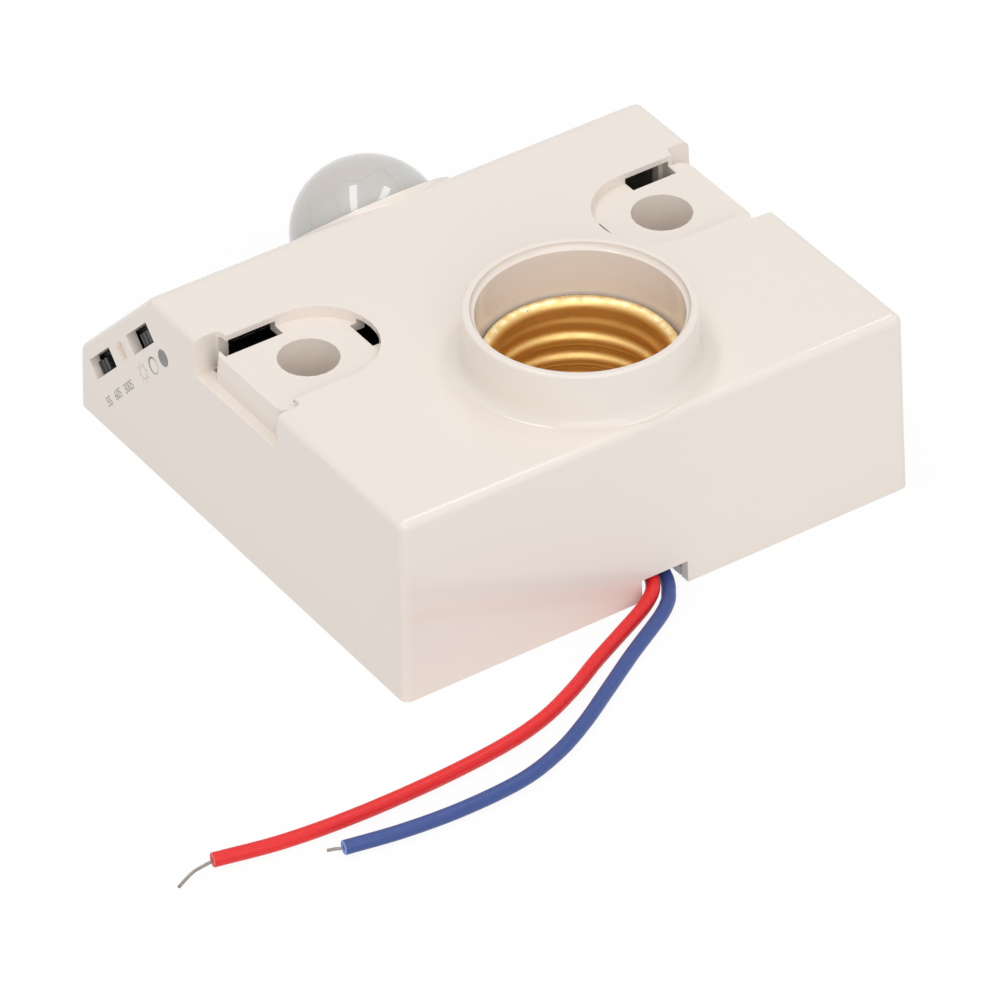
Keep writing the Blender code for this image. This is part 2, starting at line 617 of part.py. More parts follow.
def housing_pilot_holes():
    """Blind holes for the self-tapping screws."""
    bm = bmesh.new()
    for side in (-1, 1):
        corner_end = DIMPLE_PLATE_H + COVER_SCREW_LENGTH
        add_cylinder(bm, HOLE_R, DIMPLE_PLATE_H - EPS, corner_end, SMALL_FACETS, (side * CORNER_X, -CORNER_Y))
        lug_end = LUG_Z + SOCKET_SCREW_LENGTH + GAP
        add_cylinder(bm, HOLE_R, LUG_Z, lug_end, SMALL_FACETS, (side * LUG_X, COLLAR_Y))
    for x, y in BOARD_BOSSES.values():
        add_cylinder(bm, HOLE_R, BOARD_TOP_Z - EPS, BOARD_Z + BOARD_SCREW_LENGTH + GAP, SMALL_FACETS, (x, y))
    return bm


def housing_recess_cutters(housing):
    for side in (-1, 1):
        label = "left" if side < 0 else "right"
        recess = bmesh.new()
        reach = PLATEAU_X + PLATEAU_DRAFT
        add_prism(recess, recess_outline(side, 0.0, reach), PLATEAU_Z, HEIGHT + EPS)
        boolean(housing, f"recess_{label}", recess)
        notch = bmesh.new()
        low = notch_outline(side, PLATEAU_X + PLATEAU_DRAFT)
        add_prism(notch, low, LEDGE_Z, HEIGHT + EPS, notch_outline(side, PLATEAU_X))
        boolean(housing, f"notch_{label}", notch)
        well = bmesh.new()
        well_floor = TUBE_BOTTOM_Z + SEAT_T
        add_cylinder(well, WELL_R, well_floor, HEIGHT, ROUND_FACETS, (side * WELL_X, 0.0))
        boolean(housing, f"well_{label}", well)
        screw_hole = bmesh.new()
        add_cylinder(screw_hole, WALL_SCREW_R, -EPS, well_floor + EPS, SMALL_FACETS, (side * WELL_X, 0.0))
        boolean(housing, f"screw_hole_{label}", screw_hole)
        slots = bmesh.new()
        low_z = LEDGE_Z - 2 * RECESS_WALL
        for row in (-1, 1):
            outer = LONG_SLOT_OUT_X if side < 0 < row else SLOT_OUT_X
            width = SLOT_WIDTH if row > 0 else FRONT_SLOT_WIDTH
            xs = sorted((side * SLOT_IN_X, side * outer))
            ys = sorted((row * (RECESS_R - width), row * SLOT_BACK))
            add_box(slots, (xs[0], ys[0], low_z), (xs[1], ys[1], SLOT_TOP_Z))
        xs = sorted((side * (RECESS_ARC_X - SLOT_BACK), side * APEX_SLOT_X))
        add_box(slots, (xs[0], -APEX_SLOT_HALF, low_z), (xs[1], APEX_SLOT_HALF, SLOT_TOP_Z))
        boolean(housing, f"slots_{label}", slots)


def lens_seat_ring():
    """Low raised ring round the lens opening, in the frame of the sensor face."""
    inner, rounding = LENS_R + 2 * GAP, SEAT_RING_H / 2
    profile = [
        (inner, -WALL / 2), (SEAT_RING_R, -WALL / 2), (SEAT_RING_R, SEAT_RING_H - rounding),
        (SEAT_RING_R - rounding * 0.3, SEAT_RING_H - rounding * 0.3), (SEAT_RING_R - rounding, SEAT_RING_H),
        (inner, SEAT_RING_H),
    ]
    bm = bmesh.new()
    add_lathe(bm, profile, FINE_FACETS)
    return bm


def face_openings():
    """Round openings in the top plate and the sensor face, before their rings go on."""
    bm = bmesh.new()
    add_cylinder(bm, (BORE_R + COLLAR_R) / 2, SKIRT_Z - EPS, HEIGHT + EPS, FINE_FACETS, (0.0, COLLAR_Y))
    lens = add_cylinder(bm, LENS_R + GAP, -2 * WALL, SEAT_RING_H + EPS, FINE_FACETS)
    bmesh.ops.transform(bm, matrix=on_slope(along=LENS_ALONG), verts=lens)
    return bm


def housing_sensor_cutters(housing):
    posts = bmesh.new()
    for side in (-1, 1):
        top = SENSOR_SCREW_LENGTH - SENSOR_BOARD_UNDER
        add_cylinder(posts, HOLE_R, -SENSOR_BOARD_DEPTH, top + GAP, SMALL_FACETS, (side * SENSOR_BOSS_X, 0.0))
    boolean(housing, "sensor_pilot_holes", posts, "DIFFERENCE", on_slope(along=LENS_ALONG))
    windows = bmesh.new()
    outer = -BASE_X / 2 - EPS
    inner = -side_x(0.0, 2 * WALL)
    for along in (TIME_ALONG, LUX_ALONG):
        low = (outer, along - WINDOW_LENGTH / 2, -WINDOW_DEPTH - WINDOW_WIDTH / 2)
        high = (inner, along + WINDOW_LENGTH / 2, -WINDOW_DEPTH + WINDOW_WIDTH / 2)
        add_box(windows, low, high)
    boolean(housing, "setting_windows", windows, "DIFFERENCE", on_slope())
    dimple = bmesh.new()
    middle = on_slope(along=DIMPLE_ALONG, height=-WINDOW_DEPTH).translation
    add_cylinder(dimple, DIMPLE_R, -EPS, DIMPLE_DEPTH, SMALL_FACETS)
    turn = Matrix.Translation((-side_x(middle.z), middle.y, middle.z)) @ Matrix.Rotation(math.pi / 2, 4, "Y")
    boolean(housing, "side_dimple", dimple, "DIFFERENCE", turn)


def front_housing(finish):
    housing = make_object("front_housing", wedge(0.0, 0.0, 0.0, EDGE_R), finish)
    hollow = housing_hollow()
    step = housing.modifiers.new("hollow", "BOOLEAN")
    step.solver = "EXACT"
    step.object = hollow
    boolean(housing, "face_openings", face_openings())
    boolean(housing, "collar", collar_ring(), "UNION")
    boolean(housing, "lens_seat", lens_seat_ring(), "UNION", on_slope(along=LENS_ALONG))
    housing_recess_cutters(housing)
    housing_sensor_cutters(housing)
    boolean(housing, "pilot_holes", housing_pilot_holes())
    edges = bmesh.new()
    inside = front_y(0.0, WALL) + EPS
    add_box(edges, (CABLE_NOTCH_LEFT, -BASE_Y, -EPS), (CABLE_NOTCH_RIGHT, inside, CABLE_NOTCH_Z))
    pocket_end = rear_y(0.0, WALL) + TONGUE_REACH
    for side in (-1, 1):
        half = TONGUE_WIDTH / 2 + GAP
        low = (side * TONGUE_X - half, BOARD_REAR_Y, -EPS)
        add_box(edges, low, (side * TONGUE_X + half, pocket_end, COVER_T + GAP))
    boolean(housing, "edge_notches", edges)
    shading = housing.modifiers.new("shading", "WEIGHTED_NORMAL")
    shading.keep_sharp = True
    return housing


# Back cover and its screws

def back_cover(finish):
    bm = bmesh.new()
    half_x, half_y = side_x(COVER_T, WALL + GAP), rear_y(COVER_T, WALL + GAP)
    corner = EDGE_R
    outline = arc(half_x - corner, half_y - corner, corner, 0, 1, 3)
    outline += arc(corner - half_x, half_y - corner, corner, 1, 2, 3)
    outline += arc(corner - half_x, corner - half_y, corner, 2, 3, 3)
    outline += arc(half_x - corner, corner - half_y, corner, 3, 4, 3)
    add_prism(bm, outline, 0.0, COVER_T)
    cover = make_object("back_cover", bm, finish)
    added = bmesh.new()
    for side in (-1, 1):
        add_cylinder(added, DIMPLE_PLATE_R, 0.0, DIMPLE_PLATE_H, ROUND_FACETS, (side * CORNER_X, -CORNER_Y))
        tongue_low = (side * TONGUE_X - TONGUE_WIDTH / 2, half_y - EPS, GAP)
        add_box(added, tongue_low, (side * TONGUE_X + TONGUE_WIDTH / 2, half_y + TONGUE_REACH, COVER_T))
    boolean(cover, "cover_additions", added, "UNION")
    counterbores = bmesh.new()
    holes = bmesh.new()
    for side in (-1, 1):
        head_room = DIMPLE_PLATE_H - COVER_T
        add_cylinder(counterbores, HEAD_R + GAP, -EPS, head_room, ROUND_FACETS, (side * CORNER_X, -CORNER_Y))
        add_cylinder(holes, HOLE_R, -EPS, DIMPLE_PLATE_H + EPS, SMALL_FACETS, (side * CORNER_X, -CORNER_Y))
        add_cylinder(holes, WALL_SCREW_R, -EPS, COVER_T + EPS, SMALL_FACETS, (side * WELL_X, 0.0))
    boolean(cover, "cover_counterbores", counterbores)
    boolean(cover, "cover_holes", holes)
    cable = bmesh.new()
    low = (CABLE_NOTCH_LEFT, -BASE_Y, -EPS)
    add_box(cable, low, (CABLE_NOTCH_RIGHT, COVER_NOTCH_REACH - half_y, COVER_T + EPS))
    boolean(cover, "cover_cable_notch", cable)
    return cover


def screw(name, finish, length, place):
    """Pan-head screw that points up its own z, with the underside of its head at the origin."""
    bm = bmesh.new()
    tip = SCREW_R * 1.5
    profile = [
        (0.0, -HEAD_H), (HEAD_R * 0.7, -HEAD_H), (HEAD_R, -HEAD_H * 0.6), (HEAD_R, 0.0), (SCREW_R, 0.0),
        (SCREW_R, length - tip), (0.0, length),
    ]
    add_lathe(bm, profile, SMALL_FACETS)
    body = make_object(name, bm, finish, place)
    cross = bmesh.new()
    arm, half = HEAD_R * 0.62, HEAD_R * 0.12
    depth = HEAD_H * 0.6
    shape = [
        (arm, -half), (arm, half), (half, half), (half, arm), (-half, arm), (-half, half),
        (-arm, half), (-arm, -half), (-half, -half), (-half, -arm), (half, -arm), (half, -half),
    ]
    add_prism(cross, shape, -HEAD_H - EPS, depth - HEAD_H)
    boolean(body, f"{name}_drive", cross, "DIFFERENCE", place)
    return body


# Lamp socket

def screw_shell(finish):
    """Rolled brass shell: a flared lip, a female thread that fades at both ends and an inner flange."""
    rows = []
    thread_steps = 16
    lip_steps = [(0.0, 0.0), (0.375, 0.09), (0.775, 0.38), (1.0, 0.9)]
    throat_r = THREAD_CREST_R + THREAD_DEPTH
    for inward, down in lip_steps:
        radius = SHELL_LIP_R - (SHELL_LIP_R - throat_r) * inward
        rows.append((radius, HEIGHT - THREAD_TOP_DROP * down, 0.0))
    for i in range(thread_steps + 1):
        t = i / thread_steps
        fade = min(1.0, 5.0 * t + 0.15, 5.0 * (1.0 - t))
        rows.append((throat_r, THREAD_TOP_Z + (THREAD_END_Z - THREAD_TOP_Z) * t, max(0.0, fade)))
    floor_z = SHELL_FLOOR_Z + SHELL_T
    rows.append((throat_r, floor_z + 2 * SHELL_T, 0.0))
    rows.append((throat_r - 2 * SHELL_T, floor_z, 0.0))
    rows.append((SHELL_FLOOR_R, floor_z, 0.0))

    def ring(bm, radius, z, fade, grow, drop):
        verts = []
        for i in range(SHELL_FACETS):
            angle = 2 * math.pi * i / SHELL_FACETS
            turns = (z - THREAD_CREST_Z) / THREAD_PITCH - (angle - THREAD_CREST_ANGLE) / (2 * math.pi)
            wave = 0.5 + 0.5 * math.cos(2 * math.pi * turns)
            r = radius - fade * THREAD_DEPTH * wave + grow
            verts.append(bm.verts.new((r * math.cos(angle), COLLAR_Y + r * math.sin(angle), z - drop)))
        return verts

    bm = bmesh.new()
    inner = [ring(bm, r, z, fade, 0.0, 0.0) for r, z, fade in rows]
    outer = []
    for number, (r, z, fade) in enumerate(rows):
        in_lip, in_floor = number < len(lip_steps) - 1, number >= len(rows) - 2
        grow = 0.0 if number in (0, len(rows) - 1) else SHELL_T
        drop = SHELL_T if in_lip or in_floor else 0.0
        outer.append(ring(bm, r, z, fade, grow, drop))
    loop = inner + outer[::-1]
    for first, second in zip(loop, loop[1:] + loop[:1]):
        for i in range(SHELL_FACETS):
            j = (i + 1) % SHELL_FACETS
            bm.faces.new((first[i], first[j], second[j], second[i]))
    return make_object("screw_shell", bm, finish)


def socket_body(finish):
    bm = bmesh.new()
    chamfer = WALL / 2
    profile = [
        (0.0, CUP_BOTTOM_Z), (CUP_R - chamfer, CUP_BOTTOM_Z), (CUP_R, CUP_BOTTOM_Z + chamfer),
        (CUP_R, CUP_TOP_Z), (CUP_INNER_R, CUP_TOP_Z), (CUP_INNER_R, CUP_FLOOR_Z), (0.0, CUP_FLOOR_Z),
    ]
    add_lathe(bm, profile, FINE_FACETS, (0.0, COLLAR_Y))
    cup = make_object("socket_body", bm, finish)
    lugs = bmesh.new()
    inside = (CUP_R + CUP_INNER_R) / 2
    for side in (-1, 1):
        half = LUG_WIDTH / 2
        rounded = arc(LUG_X, COLLAR_Y, half, -1, 1, 8)
        outline = [(inside * math.cos(half / inside), COLLAR_Y - half)] + rounded
        outline += [(inside * math.cos(half / inside), COLLAR_Y + half)]
        add_prism(lugs, [(side * x, y) for x, y in outline], LUG_Z, LUG_Z + LUG_T)
    boolean(cup, "socket_lugs", lugs, "UNION")
    holes = bmesh.new()
    for x in (-LUG_X, LUG_X):
        add_cylinder(holes, HOLE_R, LUG_Z - EPS, LUG_Z + LUG_T + EPS, SMALL_FACETS, (x, COLLAR_Y))
    low, high = CUP_BOTTOM_Z - EPS, CUP_FLOOR_Z + EPS
    for x in (-SHELL_RIVET_X, SHELL_RIVET_X, CONTACT_RIVET_X):
        add_cylinder(holes, RIVET_R + GAP, low, high, SMALL_FACETS, (x, COLLAR_Y))
    boolean(cup, "socket_holes", holes)
    return cup


def shell_rivet_holes(shell):
    holes = bmesh.new()
    low, high = SHELL_FLOOR_Z - EPS, SHELL_FLOOR_Z + SHELL_T + EPS
    for x in (-SHELL_RIVET_X, SHELL_RIVET_X):
        add_cylinder(holes, RIVET_R + GAP, low, high, SMALL_FACETS, (x, COLLAR_Y))
    boolean(shell, "shell_rivet_holes", holes)


def rivet(name, finish, x, top_z):
    """Round-headed rivet through the floor of the cup, with the upper head on a sheet at top_z."""
    upper, lower = top_z + GAP, CUP_BOTTOM_Z - GAP
    bm = bmesh.new()
    small = RIVET_HEAD_R * 0.6
    profile = [
        (0.0, lower - RIVET_HEAD_H), (small, lower - RIVET_HEAD_H), (RIVET_HEAD_R, lower - RIVET_HEAD_H / 2),
        (RIVET_HEAD_R, lower), (RIVET_R, lower), (RIVET_R, upper), (RIVET_HEAD_R, upper),
        (RIVET_HEAD_R, upper + RIVET_HEAD_H / 2), (small, upper + RIVET_HEAD_H), (0.0, upper + RIVET_HEAD_H),
    ]
    add_lathe(bm, profile, SMALL_FACETS, (x, COLLAR_Y))
    return make_object(name, bm, finish)


def centre_contact(finish):
    """Springy strip: flat under its rivet, then rising over the middle of the socket."""
    base_z = CUP_FLOOR_Z + GAP
    tail = CONTACT_RIVET_X - RIVET_HEAD_R - GAP
    knee = CONTACT_RIVET_X + RIVET_HEAD_R + 2 * GAP
    top = base_z + CONTACT_RISE
    line = [
        (tail, base_z), (knee, base_z), (-CONTACT_T, top - CONTACT_T), (2 * CONTACT_T, top),
        (4 * CONTACT_T, top), (SHELL_FLOOR_R - CONTACT_SETBACK, base_z + CONTACT_RISE / 2),
    ]
    lower = [(x, COLLAR_Y - CONTACT_WIDTH / 2, z) for x, z in line]
    lower += [(x, COLLAR_Y - CONTACT_WIDTH / 2, z + CONTACT_T) for x, z in reversed(line)]
    upper = [(x, y + CONTACT_WIDTH, z) for x, y, z in lower]
    bm = bmesh.new()
    add_loft(bm, lower, upper)
    strip = make_object("centre_contact", bm, finish)
    hole = bmesh.new()
    low, high = base_z - EPS, base_z + CONTACT_T + EPS
    add_cylinder(hole, RIVET_R + GAP, low, high, SMALL_FACETS, (CONTACT_RIVET_X, COLLAR_Y))
    boolean(strip, "contact_hole", hole)
    return strip


# Main board and its parts

def main_board(finish):
    bm = bmesh.new()
    low = (-BOARD_HALF_X, BOARD_FRONT_Y, BOARD_Z)
    add_box(bm, low, (BOARD_HALF_X, BOARD_REAR_Y, BOARD_TOP_Z))
    board = make_object("main_board", bm, finish)
    holes = bmesh.new()
    for x, y in BOARD_BOSSES.values():
        add_cylinder(holes, HOLE_R, BOARD_Z - EPS, BOARD_TOP_Z + EPS, SMALL_FACETS, (x, y))
    boolean(board, "board_holes", holes)
    return board


def moulded_block(name, finish, size, at, edge=0.4 * MM):
    """Case with rounded upper and upright edges that stands on the main board."""
    bm = bmesh.new()
    bottom = BOARD_TOP_Z + GAP
    add_centred_box(bm, size, bottom, at)
    upper = [e for e in bm.edges if max(v.co.z for v in e.verts) > bottom + EPS / 2]
    bmesh.ops.bevel(bm, geom=upper, offset=edge, segments=1, profile=0.5, affect="EDGES")
    return make_object(name, bm, finish)


def can_capacitor(name, finish, radius, height, at):
    """Electrolytic capacitor with its rolled groove above the foot."""
    bottom = BOARD_TOP_Z + GAP
    groove = radius * 0.1
    profile = [
        (0.0, bottom), (radius - groove, bottom), (radius, bottom + groove), (radius, bottom + 4 * groove),
        (radius - groove, bottom + 5 * groove), (radius, bottom + 6 * groove),
        (radius, bottom + height - groove), (radius - groove, bottom + height), (0.0, bottom + height),
    ]
    bm = bmesh.new()
    add_lathe(bm, profile, ROUND_FACETS, at)
    return make_object(name, bm, finish)


def varistor(finish):
    """Coated disc that stands on edge, with its two legs joined on below."""
    bm = bmesh.new()
    centre_z = BOARD_TOP_Z + GAP + VARISTOR_R + LEAD_R
    rounding = VARISTOR_T * 0.25
    half = VARISTOR_T / 2
    profile = [
        (0.0, -half), (VARISTOR_R - rounding, -half), (VARISTOR_R, rounding - half),
        (VARISTOR_R, half - rounding), (VARISTOR_R - rounding, half), (0.0, half),
    ]
    add_lathe(bm, profile, ROUND_FACETS)
    stand = Matrix.Translation((*VARISTOR_AT, centre_z)) @ Matrix.Rotation(math.pi / 2, 4, "X")
    disc = make_object("varistor", bm, finish, stand)
    legs = bmesh.new()
    for side in (-1, 1):
        at = (VARISTOR_AT[0] + side * VARISTOR_R * 0.5, VARISTOR_AT[1])
        add_cylinder(legs, LEAD_R, BOARD_TOP_Z + GAP, centre_z - VARISTOR_R * 0.5, 8, at)
    boolean(disc, "varistor_legs", legs, "UNION")
    return disc


def fuse_resistor(finish):
    """Round resistor that lies along x, with both leads bent down to the board."""
    bm = bmesh.new()
    half, waist = RESISTOR_LENGTH / 2, RESISTOR_R * 0.8
    profile = [
        (0.0, -half), (RESISTOR_R * 0.7, -half), (RESISTOR_R, -half * 0.8), (waist, -half * 0.5),
        (waist, half * 0.5), (RESISTOR_R, half * 0.8), (RESISTOR_R * 0.7, half), (0.0, half),
    ]
    add_lathe(bm, profile, SMALL_FACETS)
    centre_z = BOARD_TOP_Z + GAP + RESISTOR_R + LEAD_R
    lie = Matrix.Translation((*RESISTOR_AT, centre_z)) @ Matrix.Rotation(math.pi / 2, 4, "Y")
    body = make_object("fuse_resistor", bm, finish, lie)
    for side in (-1, 1):
        leg = bmesh.new()
        foot_x = RESISTOR_AT[0] + side * RESISTOR_SPAN / 2
        near_x = RESISTOR_AT[0] + side * half * 0.9
        y = RESISTOR_AT[1]
        xs = sorted((near_x, foot_x + side * LEAD_R))
        low_z, high_z = BOARD_TOP_Z + GAP, centre_z + LEAD_R
        inner = foot_x - side * LEAD_R
        outer = foot_x + side * LEAD_R
        outline = [
            (near_x, high_z), (outer, high_z), (outer, low_z), (inner, low_z), (inner, high_z - 2 * LEAD_R),
            (near_x, high_z - 2 * LEAD_R),
        ]
        ring = [(x, y - LEAD_R, z) for x, z in outline]
        add_loft(leg, ring, [(x, y + LEAD_R, z) for x, _, z in ring])
        boolean(body, f"resistor_leg_{'left' if side < 0 else 'right'}", leg, "UNION")
    return body


def board_link(finish):
    """Pin strip between the two boards, with its upper end cut to the slope."""
    bm = bmesh.new()
    x, y = LINK_AT
    under = SENSOR_BOARD_UNDER + GAP
    near, far = y - LINK_T / 2, y + LINK_T / 2
    bottom = BOARD_TOP_Z + GAP
    side_view = [(near, bottom), (far, bottom), (far, slope_z(far, under)), (near, slope_z(near, under))]
    left = [(x - LINK_WIDTH / 2, a, b) for a, b in side_view]
    add_loft(bm, left, [(x + LINK_WIDTH / 2, a, b) for a, b in side_view])
    return make_object("board_link", bm, finish)


def control_chip(finish):
    """Flat chip under the main board, with a row of legs on either long side."""
    bm = bmesh.new()
    foot = BOARD_Z - GAP
    top = foot - CHIP_SIZE[2] * 0.1
    add_centred_box(bm, CHIP_SIZE, top - CHIP_SIZE[2], CHIP_AT)
    chip = make_object("control_chip", bm, finish)
    legs = bmesh.new()
    count = 8
    pitch = CHIP_SIZE[0] / count
    for row in (-1, 1):
        for i in range(count):
            x = CHIP_AT[0] + (i - (count - 1) / 2) * pitch
            root = CHIP_AT[1] + row * CHIP_SIZE[1] * 0.45
            end = CHIP_AT[1] + row * CHIP_SIZE[1] * 0.75
            ys = sorted((root, end))
            half = pitch * 0.17
            add_box(legs, (x - half, ys[0], foot - CHIP_SIZE[2] * 0.4), (x + half, ys[1], foot))
    boolean(chip, "chip_legs", legs, "UNION")
    return chip


# Sensor board and what sits on it, in the frame of the sensor face

def sensor_board(finish):
    bm = bmesh.new()
    low = (SENSOR_BOARD_LEFT, SENSOR_BOARD_TOP, -SENSOR_BOARD_UNDER)
    add_box(bm, low, (SENSOR_BOARD_RIGHT, SENSOR_BOARD_END, -SENSOR_BOARD_DEPTH))
    board = make_object("sensor_board", bm, finish, on_slope())
    holes = bmesh.new()
    for side in (-1, 1):
        at = (side * SENSOR_BOSS_X, LENS_ALONG)
        add_cylinder(holes, HOLE_R, low[2] - EPS, EPS - SENSOR_BOARD_DEPTH, SMALL_FACETS, at)
    boolean(board, "sensor_board_holes", holes, "DIFFERENCE", on_slope())
    return board


def fresnel_lens(finish):
    """Thin dome with a short skirt and a flange that lies behind the sensor face."""
    bm = bmesh.new()
    flange_top = -WALL - GAP
    flange_bottom = flange_top - LENS_FLANGE_T
    inner_r = LENS_R - LENS_T
    centre = -LENS_CENTRE_DEPTH
    steps = 7
    outer = [(LENS_R * math.cos(a), centre + LENS_R * math.sin(a)) for a in quarter(steps)]
    inner = [(inner_r * math.cos(a), centre + inner_r * math.sin(a)) for a in quarter(steps)]
    profile = [(0.0, centre + LENS_R)] + outer[::-1][1:]
    profile += [(LENS_R, flange_top), (LENS_R + LENS_FLANGE_WIDTH, flange_top)]
    profile += [(LENS_R + LENS_FLANGE_WIDTH, flange_bottom), (inner_r, flange_bottom)]
    profile += inner[:-1] + [(0.0, centre + inner_r)]
    add_lathe(bm, profile, FINE_FACETS // 2)
    return make_object("fresnel_lens", bm, finish, on_slope(along=LENS_ALONG))


def quarter(steps):
    return [math.pi / 2 * i / steps for i in range(steps + 1)]


def lens_ring(finish):
    """Ring that presses the lens flange up, with a sleeve round each post of the housing."""
    bm = bmesh.new()
    top = -WALL - GAP - LENS_FLANGE_T - GAP
    bottom = top - RING_T
    profile = [(RING_INNER_R, top), (RING_OUTER_R, top), (RING_OUTER_R, bottom), (RING_INNER_R, bottom)]
    facets = FINE_FACETS // 2
    add_lathe(bm, profile, facets)
    place = on_slope(along=LENS_ALONG)
    ring = make_object("lens_ring", bm, finish, place @ Matrix.Rotation(math.pi / facets, 4, "Z"))
    sleeves = bmesh.new()
    bores = bmesh.new()
    for side in (-1, 1):
        at = (side * SENSOR_BOSS_X, 0.0)
        add_cylinder(sleeves, EAR_R, GAP - SENSOR_BOARD_DEPTH, top - RING_T / 3, SMALL_FACETS, at)
        add_cylinder(bores, SLIM_BOSS_R + GAP, -SENSOR_BOARD_DEPTH - EPS, top + EPS, SMALL_FACETS, at)
    boolean(ring, "ring_sleeves", sleeves, "UNION", place)
    boolean(ring, "ring_bores", bores, "DIFFERENCE", place)
    return ring


def pir_sensor(finish):
    """Metal can with a flange and a square window in its top."""
    bm = bmesh.new()
    foot = GAP - SENSOR_BOARD_DEPTH
    top = foot + PIR_HEIGHT
    rounding = PIR_R * 0.1
    profile = [
        (0.0, foot), (PIR_FLANGE_R, foot), (PIR_FLANGE_R, foot + PIR_FLANGE_T), (PIR_R, foot + PIR_FLANGE_T),
        (PIR_R, top - rounding), (PIR_R - rounding, top), (0.0, top),
    ]
    add_lathe(bm, profile, ROUND_FACETS)
    place = on_slope(along=LENS_ALONG)
    can = make_object("pir_sensor", bm, finish, place)
    window = bmesh.new()
    depth = PIR_HEIGHT * 0.06
    add_centred_box(window, (PIR_R * 0.95, PIR_R * 0.75, EPS), top - depth)
    boolean(can, "pir_window", window, "DIFFERENCE", place)
    return can


def photocell(finish):
    bm = bmesh.new()
    foot = GAP - SENSOR_BOARD_DEPTH
    top = foot + CELL_HEIGHT
    rounding = CELL_R * 0.15
    profile = [(0.0, foot), (CELL_R, foot), (CELL_R, top - rounding), (CELL_R - rounding, top), (0.0, top)]
    add_lathe(bm, profile, SMALL_FACETS, (CELL_X, 0.0))
    return make_object("photocell", bm, finish, on_slope(along=LENS_ALONG))


def slide_switch(name, along, finish, knob_finish, knob_offset):
    """Slide switch on the sensor board: a case open towards its window, and the knob in it."""
    middle = on_slope(along=along, height=-KNOB_DEPTH).translation
    wall_x = -side_x(middle.z)
    case_left = wall_x + WALL + SWITCH_CLEAR
    bm = bmesh.new()
    low = (case_left, along - SWITCH_HALF_LENGTH, GAP - SENSOR_BOARD_DEPTH)
    add_box(bm, low, (case_left + SWITCH_REACH, along + SWITCH_HALF_LENGTH, -WALL - SWITCH_CLEAR))
    case = make_object(f"{name}_switch", bm, finish, on_slope())
    channel = bmesh.new()
    half_way = (KNOB_TRAVEL + KNOB_LENGTH) / 2 + GAP
    half_width = KNOB_WIDTH / 2 + GAP
    low = (case_left - EPS, along - half_way, -KNOB_DEPTH - half_width)
    add_box(channel, low, (case_left + KNOB_ROOT + GAP, along + half_way, half_width - KNOB_DEPTH))
    boolean(case, f"{name}_channel", channel, "DIFFERENCE", on_slope())
    knob = bmesh.new()
    face_x = wall_x + KNOB_SUNK
    root_x = case_left + KNOB_ROOT
    half = KNOB_LENGTH / 2
    add_box(knob, (face_x, -half, -KNOB_WIDTH / 2), (root_x, half, KNOB_WIDTH / 2))
    outer = [e for e in knob.edges if max(v.co.x for v in e.verts) < face_x + EPS / 2]
    bmesh.ops.bevel(knob, geom=outer, offset=GAP, segments=2, profile=0.5, affect="EDGES")
    place = on_slope(along=along + knob_offset, height=-KNOB_DEPTH)
    make_object(f"{name}_knob", knob, knob_finish, place)
    return case


# Wires

def from_front(points, z=None):
    """Route points in metres, from millimetres with y counted from the front foot of the housing."""
    return [Vector((p[0] * MM, p[1] * MM - BASE_Y / 2, p[2] * MM if z is None else z)) for p in points]


def from_board(x, z, reach, overlap):
    """Start of a lead: under the front edge of the main board, then out in front of it."""
    return [Vector((x, BOARD_FRONT_Y + overlap, z)), Vector((x, BOARD_FRONT_Y - reach, z))]


def smooth_route(knots, spacing):
    """Points about a spacing apart, or closer, on the smooth curve through the knots."""
    ends = [knots[0] * 2 - knots[1]] + knots + [knots[-1] * 2 - knots[-2]]
    route = []
    for a, b, c, d in zip(ends, ends[1:], ends[2:], ends[3:]):
        count = max(1, round((c - b).length / spacing))
        for i in range(count):
            t = i / count
            route.append(0.5 * (2 * b + (c - a) * t + (2 * a - 5 * b + 4 * c - d) * t ** 2
                                + (3 * b - a - 3 * c + d) * t ** 3))
    return route + [knots[-1]]


def wire(name, finish, knots, radius):
    route = smooth_route(knots, radius * 5)
    curve = bpy.data.curves.new(name, "CURVE")
    curve.dimensions = "3D"
    curve.bevel_depth = radius
    curve.bevel_resolution = 2
    curve.use_fill_caps = True
    spline = curve.splines.new("POLY")
    spline.points.add(len(route) - 1)
    for point, co in zip(spline.points, route):
        point.co = (*co, 1.0)
    curve.materials.append(finish)
    thing = bpy.data.objects.new(name, curve)
    bpy.context.scene.collection.objects.link(thing)
    return thing


# The whole object

